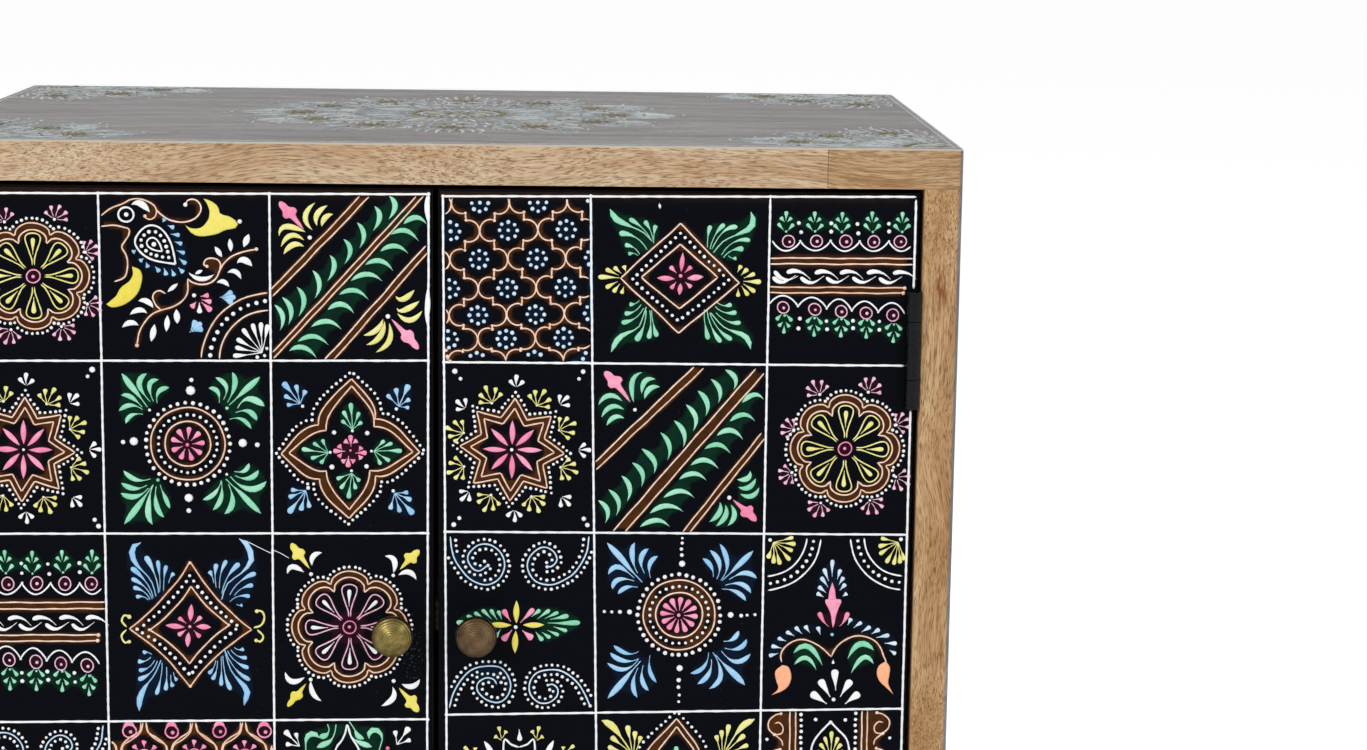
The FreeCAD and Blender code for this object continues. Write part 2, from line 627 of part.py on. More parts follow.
def catch_housing():
    """Moulded housing under the top: a pocketed block between two screwed lugs."""
    half, inner = CATCH_WIDTH / 2, CATCH_WIDTH / 2 - CATCH_LUG
    depth = (CATCH_FRONT, CATCH_FRONT + CATCH_DEPTH)
    block = box((CATCH_SETBACK - inner, CATCH_SETBACK + inner), depth, (TOP_UNDER - CATCH_HEIGHT, TOP_UNDER))
    block = eased(block, CATCH_EASE, lambda edge: level(edge, TOP_UNDER - CATCH_HEIGHT))
    lugs = box((CATCH_SETBACK - half, CATCH_SETBACK + half), depth, (CATCH_SCREW_Z, TOP_UNDER))
    lugs = eased(lugs, EDGE_EASE, upright)
    pocket_half = MAGNET_WIDTH / 2 + FIT
    pocket = box(
        (CATCH_SETBACK - pocket_half, CATCH_SETBACK + pocket_half),
        (CATCH_FRONT - MAGNET_PROUD, CATCH_FRONT - MAGNET_PROUD + MAGNET_DEPTH + FIT),
        (CATCH_MIDDLE_Z - MAGNET_HEIGHT / 2 - FIT, CATCH_MIDDLE_Z + MAGNET_HEIGHT / 2 + FIT),
    )
    return cut_all(block.fuse(lugs).removeSplitter(), [pocket] + catch_screw_holes())


# All the pieces, by name

def pieces():
    """Every piece of the nightstand by its name."""
    made = {
        "top_board": top_board(),
        "bottom_board": bottom_board(),
        "back_panel": back_panel(),
        "inner_shelf": inner_shelf(),
        "shelf_pegs": shelf_pegs(),
        "top_dowels": on_both_sides(top_dowel, TOP_DOWEL_Y),
        "bottom_dowels": on_both_sides(bottom_dowel, BOTTOM_DOWEL_Y),
        "back_panel_screws": Part.makeCompound(
            [screw((x, BACK, z), (0, -1, 0), BACK_SCREW_LENGTH) for x, z in back_screw_places()]
        ),
        "catch_screws": Part.makeCompound(
            [screw((x, y, CATCH_SCREW_Z), (0, 0, 1), CATCH_SCREW_LENGTH) for x, y in catch_screw_places()]
        ),
        "leg_hanger_bolts": at_each_leg(hanger_bolt),
        "leg_insert_nuts": at_each_leg(insert_nut),
        "leg_glides": at_each_leg(leg_glide),
    }
    for name, side in SIDES.items():
        made[f"{name}_side_board"] = side_board(side)
        for end in LEG_CENTRE_Y:
            made[f"{end}_{name}_leg"] = leg(side, end)
        made.update({f"{name}_{piece}": on_side(shape, side) for piece, shape in door_pieces().items()})
    return made


def door_pieces():
    """One door's pieces, its hinges and its catch, on the right."""
    made = {
        "door_panel": door_panel(),
        "knob": knob(),
        "knob_washer": knob_washer(),
        "knob_screw": knob_screw(),
        "strike_plate": strike_plate(),
        "strike_screw": strike_screw(screw),
        "catch_housing": catch_housing(),
        "catch_magnet": catch_magnet(),
    }
    frame_screws, door_screws = [], []
    for place, centre in HINGE_CENTRES.items():
        made[f"{place}_frame_leaf"] = frame_leaf(centre)
        made[f"{place}_door_leaf"] = door_leaf(centre)
        made[f"{place}_hinge_pin"] = hinge_pin(centre)
        frame_screws += leaf_screws(centre, 1, screw)
        door_screws += leaf_screws(centre, -1, screw)
    made["frame_leaf_screws"] = Part.makeCompound(frame_screws)
    made["door_leaf_screws"] = Part.makeCompound(door_screws)
    return made


def main():
    os.makedirs("parts", exist_ok=True)
    for name, shape in pieces().items():
        shape.exportStep(os.path.join("parts", name + ".step"))
        state = "valid" if shape.isValid() else "NOT VALID"
        print(name, state, len(shape.Solids), "solids,", round(shape.Volume), "cubic mm")


main()
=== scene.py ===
"""Nightstand with two hand-painted doors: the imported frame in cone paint, turned knobs and finishes."""
from collections import defaultdict
from functools import partial

import bpy
import numpy as np
from mathutils import Matrix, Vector
from numpy.linalg import norm


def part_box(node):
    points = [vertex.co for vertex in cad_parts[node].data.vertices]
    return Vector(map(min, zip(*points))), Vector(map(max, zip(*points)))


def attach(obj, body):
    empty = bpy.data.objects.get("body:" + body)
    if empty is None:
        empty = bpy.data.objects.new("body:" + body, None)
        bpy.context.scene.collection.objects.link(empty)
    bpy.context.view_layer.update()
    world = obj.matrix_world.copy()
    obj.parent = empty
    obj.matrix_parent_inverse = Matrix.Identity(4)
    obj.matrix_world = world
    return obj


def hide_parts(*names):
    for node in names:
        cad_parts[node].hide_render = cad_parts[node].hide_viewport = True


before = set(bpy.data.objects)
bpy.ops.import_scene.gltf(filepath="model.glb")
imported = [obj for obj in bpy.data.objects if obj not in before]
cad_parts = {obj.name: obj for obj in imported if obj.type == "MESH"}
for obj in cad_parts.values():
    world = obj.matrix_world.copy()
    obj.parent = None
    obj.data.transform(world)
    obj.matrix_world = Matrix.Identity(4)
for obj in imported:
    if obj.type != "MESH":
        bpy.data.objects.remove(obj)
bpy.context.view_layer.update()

MM = 0.001
RNG = np.random.default_rng(26)


def box_mm(node):
    """Lowest and highest corner of a node at rest, in millimetres."""
    return [np.array(corner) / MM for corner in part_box(node)]


# Faces that carry paint. These and all lengths below are millimetres, apart from the studio's
TOP_LOW, TOP_HIGH = box_mm("top_board")
TOP_FACE = TOP_HIGH[2]
DOOR_BOX = {side: box_mm(side + "_door_panel") for side in ("left", "right")}
DOOR_FACE = DOOR_BOX["right"][0][1]

# Widths of a line, a fine line and a ruling, and the share of a width that each thinner paint keeps
LINE = 0.95
FINE = 0.8
RULED = 1.1
LINE_SHARE = {"orange": 0.78, "rose": 0.78, "ice": 0.76, "yellow": 0.84, "pink": 0.84}

# Height of strokes as wide as FULL_WIDTH, of dots as a share of a radius up to DOT_CAP; how deep paint sinks
PAINT_HEIGHT = 0.36
FULL_WIDTH = 1.1
DOOR_DOT_HEIGHT = 0.52
TOP_DOT_HEIGHT = 0.62
DOT_CAP = 2.4
SUNK = 0.2

# The arch across a stroke as shares of its width and height, and the sides and shoulder of a dot
ARCH_PLACE = np.array([0.0, 0.14, 0.5, 0.86, 1.0])
ARCH_RISE = np.array([0.0, 0.72, 1.0, 0.72, 0.0])
DOT_SIDES = 8
SHOULDER_WIDE = 0.76
SHOULDER_HIGH = 0.68

# Steps along lines, the margin in a tile that clips them, and points along paths, strokes and patches
STEP = 0.9
CLIP_STEP = 0.6
CLIP_MARGIN = 0.7
SPAN_POINTS = 9
SWEPT_POINTS = 17
STROKE_POINTS = 10
PATCH_POINTS = 24

# How near the ends of a closed line are; an open one is rounded over a share of its width to a blunt tip
CLOSED = 0.3
ROUNDED = 0.8
BLUNT = 0.35

# The painter's hand: how far paint drifts on tiles, at the ruler and along the top's edge, and how much
# the widths of strokes and the sizes and places of dots vary
DRIFT = 0.1
RULER_DRIFT = 0.03
EDGE_DRIFT = 0.05
WIDTH_VARIES = 0.07
DOT_VARIES = 0.12
DOT_STRAYS = 0.09

# Black ground on the doors: thickness, bedding, step of its grid, inset and reach
FILM = 0.12
FILM_BED = 0.04
FILM_STEP = 1.0
FILM_INSET = 0.9
GROUND_REACH = 202.2

# How soon a wash is at full strength inside its edge, and how far down the doors' upper edge is worn
WASH_EDGE = 0.06
WORN_EDGE = 2.6

# Where the top board's front edge is pieced, and a knot in the right stile and its half-sizes, across and up
JOINT_PLACE = 167.0
KNOT = (216.0, 540.0)
KNOT_SIZE = (4.4, 12.0)

# Ornament on the top: scale and place of the middle one and of those in the corners, and lines at the edge
MIDDLE_SCALE = 0.925
MIDDLE_ASIDE = 3.5
CORNER_SCALE = 0.84
CORNER_INSET = 5.0
EDGE_INSETS = (1.9, 3.6)
EDGE_HEIGHT = 0.16

# Knobs: sides, marks of the turning tool, and where the ground is rubbed beside the left one, from its axis
KNOB_SIDES = 72
TOOL_PITCH = 1.0
RUB_ASIDE = 8.0
RUB_BELOW = 13.0
RUB_WIDE = 4.6
RUB_HIGH = 12.0

# Studio, in metres: how far the floor runs back, its bend and its half-width
FLOOR_RUN = 9.0
FLOOR_BEND = 6.0
FLOOR_WIDE = 14.0

# The photograph's camera: yaw, pitch and roll in radians, focal length and width in its pixels, the width
# of the sensor, and where it stands: across, in front of the top board, and up
CAMERA_TURNS = (0.0339938, 0.1722071, 0.0136362)
FOCAL_PIXELS = 2922.92
PHOTO_PIXELS = 1367
SENSOR = 36.0
STANDPOINT = (64.404, 1238.668, 716.914)

CORNERS = ((-1, 1), (1, 1), (-1, -1), (1, -1))

# Half-widths along a stroke: the bare thread at its start, how it swells and closes, the thread's share
SHAPES = {
    "drop": (0.0, 1.3, None, 0.14),
    "tadpole": (0.4, 1.3, None, 0.19),
    "leaf": (0.0, 1.0, 1.0, 0.06),
    "crescent": (0.0, 0.85, 1.25, 0.06),
    "frond": (0.2, 1.1, 0.75, 0.16),
    "swash": (0.35, 1.5, 0.8, 0.2),
}

# Where the painter ruled the tiles: across the front at the upper and lower end of each line,
# and down from the top face at the inner and outer end of each line
COLUMN_LINES = {
    "left": ((-205.0, -205.0), (-142.5, -142.8), (-70.3, -70.8), (-2.8, -4.4)),
    "right": ((3.2, 5.5), (66.0, 72.8), (142.6, 142.5), (205.0, 205.0)),
}
ROW_LINES = {
    "left": ((21.7, 23.1), (93.4, 95.1), (169.3, 170.8), (252.8, 255.1), (328.0, 328.6), (402.3, 402.3)),
    "right": ((22.5, 20.8), (94.0, 94.0), (168.6, 168.7), (250.9, 247.2), (327.0, 325.0), (402.3, 402.3)),
}

# Depth and length of column lines, reach of row lines, and what they leave clear above and beside a hinge
RULED_TOP = 22.0
RULED_LENGTH = 380.0
RULED_REACH = 205.0
HINGE_CLEAR = 1.0
ROW_SHORT = 3.2


# Paths


def polar(radius, degrees):
    """Points at a distance and a turn from the middle: cosine and sine times the radius."""
    angle = np.radians(degrees)
    return np.stack(np.broadcast_arrays(radius * np.cos(angle), radius * np.sin(angle)), axis=-1)


def arc(centre, radius, start, end):
    """Part of a circle: equal turns from start to end at one radius."""
    steps = max(7, int(abs(np.radians(end - start)) * radius / STEP))
    return np.asarray(centre) + polar(radius, np.linspace(start, end, steps))


def pairs(row):
    """Points from one row of numbers, x and y by turns; an odd number at the end is left out."""
    return np.array(row[:len(row) // 2 * 2], float).reshape(-1, 2)


def share(points, t):
    """Places at shares t of a path's summed length."""
    run = np.concatenate([[0.0], np.cumsum(norm(np.diff(points, axis=0), axis=1))])
    return np.stack([np.interp(t * run[-1], run, points[:, axis]) for axis in (0, 1)], axis=1)


def even(points, gap):
    """The same path in equal steps of about gap."""
    points = np.asarray(points, float)
    length = norm(np.diff(points, axis=0), axis=1).sum()
    return share(points, np.linspace(0, 1, max(2, int(round(length / gap)) + 1)))


def through(points):
    """A smooth path through points: on each span the cubic that leaves along the neighbours' chord."""
    knots = np.asarray(points, float)
    padded = np.concatenate([2 * knots[:1] - knots[1:2], knots, 2 * knots[-1:] - knots[-2:-1]])
    before, here, there, after = (padded[k:len(padded) - 3 + k, None, :] for k in range(4))
    t = np.linspace(0, 1, SPAN_POINTS, endpoint=False)[None, :, None]
    spans = (
        2 * here
        + (there - before) * t
        + (2 * before - 5 * here + 4 * there - after) * t ** 2
        + (3 * here - before - 3 * there + after) * t ** 3
    ) / 2
    return np.concatenate([spans.reshape(-1, 2), knots[-1:]])


def swept(points, bow):
    """A stroke's path: a quadratic through three points, or two with the middle off the chord by bow."""
    if len(points) > 3:
        return through(points)
    chord = points[-1] - points[0]
    half_way = (points[0] + points[-1]) / 2
    via = points[1] if len(points) == 3 else half_way + bow * np.array([-chord[1], chord[0]])
    t = np.linspace(0, 1, SWEPT_POINTS)[:, None]
    return (1 - t) ** 2 * points[0] + 2 * t * (1 - t) * (2 * via - half_way) + t ** 2 * points[-1]


def beside(path, offset):
    """A path moved to its left by an offset."""
    ahead = np.gradient(path, axis=0)
    ahead /= np.maximum(norm(ahead, axis=1, keepdims=True), 1e-9)
    return path + np.stack([-ahead[:, 1], ahead[:, 0]], axis=1) * np.reshape(offset, (-1, 1))


def by_hand(points, drift):
    """Where a steady hand puts points: each drifts by a sum of slow waves across the surface."""
    x, y = points[:, 0], points[:, 1]
    aside = np.sin(0.23 * x + 0.14 * y + 1.0) + 0.8 * np.sin(0.51 * y - 0.22 * x)
    along = np.sin(0.19 * x - 0.26 * y + 2.0) + 0.8 * np.sin(0.47 * x + 0.17 * y)
    return points + drift * np.stack([aside, along], axis=1)


def swell(shape, t):
    """Half-width along a stroke, at most one: x^rise closed by (1 - x)^fall or the round root of 1 - x^7,
    where x runs from nought at the end of the bare thread to one at the tip."""
    bare, rise, fall, thread = SHAPES[shape]
    x = np.clip((t - bare) / (1 - bare), 0.0, 1.0)
    full = x ** rise * (np.sqrt(1 - x ** 7) if fall is None else (1 - x) ** fall)
    return np.maximum(full / full.max(), thread * np.minimum(1.0, 1.4 - t))


# Paint that stands on a surface


class Pot:
    """Strokes and dots of one colour on one surface, kept until they become one mesh."""

    def __init__(self):
        self.strokes = []
        self.dots = []

    def lay(self, path, half, height):
        """A stroke whose edges are set off to both sides of its path by its half-width."""
        self.strokes.append((beside(path, -half), beside(path, half), height))

    def spots(self, points, diameter, drift):
        """Dots that vary a little in size and place."""
        varied = RNG.uniform(1 - DOT_VARIES, 1 + DOT_VARIES, (len(points), 1))
        strayed = points + RNG.normal(0.0, DOT_STRAYS, points.shape)
        self.dots.append(np.hstack([by_hand(strayed, drift), np.reshape(diameter, (-1, 1)) / 2 * varied]))

    def footprint(self):
        """Points along every stroke and dot, each with the area of paint around it."""
        points, areas = [], []
        for right, left, _ in self.strokes:
            middle = (right + left) / 2
            points.append(middle)
            steps = norm(np.gradient(middle, axis=0), axis=1)
            areas.append(norm(left - right, axis=1) * steps)
        for dots in self.dots:
            points.append(dots[:, :2])
            areas.append(np.pi * dots[:, 2] ** 2)
        return np.concatenate(points), np.concatenate(areas)


def grid_faces(index):
    """Four-sided faces between the neighbours of a grid of corner numbers."""
    corners = [index[:-1, :-1], index[1:, :-1], index[1:, 1:], index[:-1, 1:]]
    return np.stack(corners, axis=-1).reshape(-1, 4)


def ridge(right, left, height):
    """A squeezed stroke: a low arch of five points from right to left edge at every step, faces round
    and along them, and two end caps."""
    flat = right[:, None, :] + (left - right)[:, None, :] * ARCH_PLACE[None, :, None]
    rise = height * np.sqrt(np.clip(norm(left - right, axis=1) / FULL_WIDTH, 0.05, 1.0))
    lift = np.where(ARCH_RISE > 0, rise[:, None] * ARCH_RISE, -SUNK)
    index = np.arange(lift.size).reshape(lift.shape)
    caps = np.stack([index[0], index[-1, ::-1]])
    return flat.reshape(-1, 2), lift.ravel(), [grid_faces(np.hstack([index, index[:, :1]])), caps]


def domes(dots, height_share):
    """Round dots: a foot of eight sides, a smaller ring part way up and a crown point for each."""
    ring = np.arange(DOT_SIDES)
    circle = polar(1.0, 360.0 / DOT_SIDES * ring)
    plan = np.concatenate([circle, SHOULDER_WIDE * circle, np.zeros((1, 2))])
    flat = dots[:, None, :2] + dots[:, 2][:, None, None] * plan
    crown = height_share * np.minimum(dots[:, 2], DOT_CAP)
    lift = crown[:, None] * np.repeat([0.0, SHOULDER_HIGH, 1.0], [DOT_SIDES, DOT_SIDES, 1])
    lift[:, :DOT_SIDES] = -SUNK
    nxt = (ring + 1) % DOT_SIDES
    first = len(plan) * np.arange(len(dots))[:, None, None]
    wall = first + np.stack([ring, nxt, nxt + DOT_SIDES, ring + DOT_SIDES], axis=-1)
    cap = first + np.stack([ring + DOT_SIDES, nxt + DOT_SIDES, np.full(DOT_SIDES, len(plan) - 1)], axis=-1)
    foot = first[:, 0] + ring[::-1]
    return flat.reshape(-1, 2), lift.ravel(), [wall.reshape(-1, 4), cap.reshape(-1, 3), foot]


def pot_mesh(name, pot, place, dot_height):
    """One mesh of a pot's strokes and dots, put on a surface by place, with a shade for each."""
    laid = [(1, ridge(*stroke)) for stroke in pot.strokes]
    laid += [(len(dots), domes(dots, dot_height)) for dots in pot.dots]
    flats, lifts, faces, shades = [], [], [], []
    count = 0
    for items, (flat, lift, parts) in laid:
        faces += [part + count for part in parts]
        flats.append(flat)
        lifts.append(lift)
        shades.append(np.repeat(RNG.uniform(size=items), len(flat) // items))
        count += len(flat)
    mesh = new_mesh(name, place(np.concatenate(flats), np.concatenate(lifts)), faces)
    keep_values(mesh, "shade", np.concatenate(shades))
    return mesh


def new_mesh(name, corners, faces, smooth=True):
    """A mesh in metres from corners in millimetres and arrays of faces."""
    mesh = bpy.data.meshes.new(name)
    mesh.from_pydata((corners * MM).tolist(), [], [face for part in faces for face in part.tolist()])
    mesh.polygons.foreach_set("use_smooth", np.full(len(mesh.polygons), smooth))
    return mesh


def keep_values(mesh, name, values):
    """Keeps a number for every corner of a mesh, for its material to read."""
    layer = mesh.attributes.new(name, "FLOAT", "POINT")
    layer.data.foreach_set("value", values.astype(np.float32))


def in_scene(name, data):
    """A new object for a mesh, lamp or camera."""
    item = bpy.data.objects.new(name, data)
    bpy.context.scene.collection.objects.link(item)
    return item


def piece(mesh, body, material):
    """A mesh in one material that rides on a body."""
    item = in_scene(mesh.name, mesh)
    mesh.materials.append(material)
    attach(item, body)
    return item


def on_door(points, lift):
    """Door paint: x across, y up the door, lift out of its front face."""
    return np.stack([points[:, 0], DOOR_FACE - FILM - lift, points[:, 1]], axis=1)


def on_top(points, lift):
    """Top paint: x across, y front to back, lift out of the top face."""
    return np.stack([points[:, 0], points[:, 1], TOP_FACE + lift], axis=1)


class Tile:
    """A place to paint: motifs are drawn from its middle, x to the right and y up."""

    def __init__(self, pots, middle, half, turn=np.eye(2), drift=DRIFT):
        self.pots = pots
        self.middle = np.asarray(middle, float)
        self.half = np.asarray(half, float)
        self.turn = turn
        self.drift = drift

    def put(self, points):
        """Where points of the drawing lie on the surface."""
        return self.middle + np.asarray(points, float) @ self.turn.T

    def within(self, points, margin):
        """Which points of the drawing lie inside the tile by a margin."""
        return np.all(np.abs(points) < self.half - margin, axis=1)

    def moved(self, across, up):
        """The same drawing about another middle."""
        return Tile(self.pots, self.put([across, up]), self.half, self.turn, self.drift)

    def shaped(self, matrix):
        """The same place, turned, flipped or stretched by a matrix."""
        return Tile(self.pots, self.middle, self.half, self.turn @ matrix, self.drift)

    def flipped(self, across, up):
        """The same place, flipped or stretched along its two axes."""
        return self.shaped(np.diag([across, up]))

    def turned(self, degrees):
        """The same place turned anticlockwise: the usual cosine and sine matrix."""
        cosine, sine = polar(1.0, degrees)
        return self.shaped([[cosine, -sine], [sine, cosine]])

    def line(self, colour, points, width=LINE, height=PAINT_HEIGHT):
        """An even line that wavers in width and narrows as a quarter circle at each open end."""
        path = even(self.put(points), STEP)
        half = np.full(len(path), LINE_SHARE.get(colour, 1.0) * width / 2)
        if norm(path[0] - path[-1]) > CLOSED:
            order = np.arange(len(path))
            end = np.clip(np.minimum(order, order[::-1]) * STEP / (ROUNDED * width), 0.0, 1.0)
            half = half * (BLUNT + (1 - BLUNT) * np.sqrt(1 - (1 - end) ** 2))
        x, y = path[:, 0], path[:, 1]
        half *= 1 + WIDTH_VARIES * (np.sin(0.9 * x + 1.3 * y) + np.sin(1.7 * y - 0.8 * x))
        self.pots[colour].lay(by_hand(path, self.drift), half, height)

    def curves(self, colour, width, *rows):
        """Lines of one width, each smooth through the points of its row."""
        for row in rows:
            self.line(colour, through(pairs(row)), width)

    def clipped(self, colour, points, width=LINE):
        """The runs of a line that lie inside the tile."""
        path = even(points, CLIP_STEP)
        inside = self.within(path, CLIP_MARGIN)
        cuts = np.flatnonzero(np.diff(inside)) + 1
        for run, kept in zip(np.split(path, cuts), np.split(inside, cuts)):
            if kept[0] and len(run) > 2:
                self.line(colour, run, width)

    def stroke(self, colour, shape, points, width, bow=0.0):
        """One stroke of a shape along a swept path, with closer steps towards a round tip."""
        t = np.linspace(0, 1, STROKE_POINTS)
        if SHAPES[shape][2] is None:
            t = np.sin(t * np.pi / 2)
        path = by_hand(share(self.put(swept(np.asarray(points, float), bow)), t), self.drift)
        half = width / 2 * swell(shape, t) * RNG.uniform(1 - WIDTH_VARIES, 1 + WIDTH_VARIES)
        self.pots[colour].lay(path, half, PAINT_HEIGHT)

    def strokes(self, colour, shape, width, *rows):
        """Strokes of one shape: a row gives the points of a path, and may end with its own width."""
        for row in rows:
            self.stroke(colour, shape, pairs(row), row[-1] if len(row) % 2 else width)

    def arched(self, colour, shape, width, *rows):
        """Strokes that spring from a figure and bend towards the upright, most where they lie flattest."""
        for row in rows:
            points = pairs(row)
            chord = points[-1] - points[0]
            bow = np.sign(chord[0] * chord[1]) * (0.03 + 0.13 * abs(chord[0]) / norm(chord))
            self.stroke(colour, shape, points, row[-1] if len(row) % 2 else width, bow)

    def tadpoles(self, colour, base, width, *heads):
        """Drops with thread tails from one base to many heads, which may give their own width."""
        for head in heads:
            self.stroke(colour, "tadpole", [base, head[:2]], head[2] if len(head) > 2 else width)

    def patch(self, colour, one, other):
        """A filled shape between two edges that meet at both ends, each smooth through its points."""
        t = np.linspace(0.004, 0.996, PATCH_POINTS)
        right, left = (by_hand(share(self.put(through(pairs(row))), t), self.drift) for row in (one, other))
        ahead = np.gradient((right + left) / 2, axis=0)
        aside = left - right
        if (ahead[:, 0] * aside[:, 1] - ahead[:, 1] * aside[:, 0]).sum() < 0:
            right, left = left, right
        self.pots[colour].strokes.append((right, left, PAINT_HEIGHT))

    def dots(self, colour, points, diameter):
        """Dots at points, given by pairs or in one row, of one diameter or of one for each."""
        if len(points):
            self.pots[colour].spots(self.put(np.reshape(points, (-1, 2))), diameter, self.drift)

    def sized_dots(self, colour, *rows):
        """Dots that each give a place and a diameter."""
        rows = np.array(rows)
        self.dots(colour, rows[:, :2], rows[:, 2])

    def beads(self, colour, path, gap, diameter):
        """Dots in equal steps along a closed path."""
        self.dots(colour, even(path, gap)[1:], diameter)

    def ring(self, colour, radius, width=LINE, centre=(0.0, 0.0)):
        """A whole circle."""
        self.line(colour, arc(centre, radius, 0, 360), width)

    def fan(self, colour, base, heading, reach, width, shape, gap):
        """Strokes from one point: a length for each turn from the heading, drawn on both sides."""
        for turn, length in reach.items():
            for side in ((1,) if turn == 0 else (1, -1)):
                ray = polar(length, heading + side * turn)
                self.stroke(colour, shape, np.asarray(base) + np.array([gap * ray, ray]), width, 0.05 * side)


# Outlines


def tipped_path(tips, dip):
    """Tips joined clockwise by sides that bend in by dip times their length, the last to the first."""
    tips = pairs(tips)
    return np.concatenate([swept(np.array([a, b]), -dip) for a, b in zip(tips, np.roll(tips, -1, axis=0))])


def lobed_path(lobe, cusp):
    """Eight scallops round a ring: the radius rises from cusp to lobe with the root of a cosine."""
    turn = np.linspace(0.0, 360.0, 97)
    return polar(cusp + (lobe - cusp) * np.sqrt(np.abs(np.cos(np.radians(turn * 4)))), 90 + turn)


def star_path(outer, inner, start):
    """A star of eight points: turns of half a point, outer and inner radius by turns."""
    turns = np.arange(17)
    return polar(np.where(turns % 2 == 0, outer, inner), start + 22.5 * turns)


def foil_path(tips, cusps):
    """Four pointed lobes: from each cusp a cubic that leaves along the lobe and runs straight to the tip,
    and back to the next cusp."""
    tips, cusps = pairs(tips), pairs(cusps)
    t = np.linspace(0, 1, 15)[:, None]
    sides = []
    for k, tip in enumerate(tips):
        for cusp, order in ((cusps[k], 1), (cusps[(k + 1) % 4], -1)):
            axis = tip / norm(tip)
            reach = (tip - cusp) @ axis * axis
            out = cusp + 0.4 * reach + 0.06 * (cusp - tip + reach)
            near = tip + 0.5 * (cusp + 0.28 * reach - tip)
            side = (1 - t) ** 3 * cusp + 3 * t * (1 - t) ** 2 * out
            side = side + 3 * t ** 2 * (1 - t) * near + t ** 3 * tip
            sides.append(side[::order])
    return np.concatenate(sides)


# Motifs of the tiles


def trellis(tile):
    """Staggered cells: a round lobe left and right, upright shoulders between rows, rosettes inside."""
    levels = np.array([45.6, 33.2, 21.4, 9, -3.4, -15, -25.4, -35, -45])
    for row, level in enumerate(levels[:-1]):
        fall = level - levels[row + 1]
        for column in range(-2, 3):
            across = 24.7 * (column + row % 2 / 2) - 4.3
            middle = np.array([across + 0.03 * level, level + 0.02 * across])
            for side in (-1, 1):
                tile.clipped("orange", middle + arc((7.7, 0), 4.6, -108, 108) * (side, 1))
                shoulder = middle + np.array([(6.3 * side, -4.4), (6.1 * side, 4.4 - fall)])
                tile.clipped("orange", shoulder, 1.1)
                tile.dots("orange", shoulder[tile.within(shoulder, 1.2)], 1.5)
            spots = middle + np.concatenate([polar(3.7, 45 * np.arange(8)), [(0, 0)]])
            tile.dots("ice", spots[tile.within(spots, 1.1)], 1.9)
    wide, high = tile.half - 0.2
    runs = (wide, -20, wide, 10), (wide, 14, wide, 31), (20, -high, wide, -high), (-wide, 17, -wide, 26)
    for run in runs:
        tile.line("ice", pairs(run), 1)
    tile.dots("orange", (-30.4, -33.4, -30.8, -30.8, -29, -35.2), 1.7)


def lozenge(tile, outer, inner, beads, dip, gap, bead):
    """Two lozenges with a row of dots between them."""
    tile.line("orange", tipped_path(outer, dip))
    tile.line("orange", tipped_path(inner, dip))
    tile.beads("white", tipped_path(beads, dip), gap, bead)


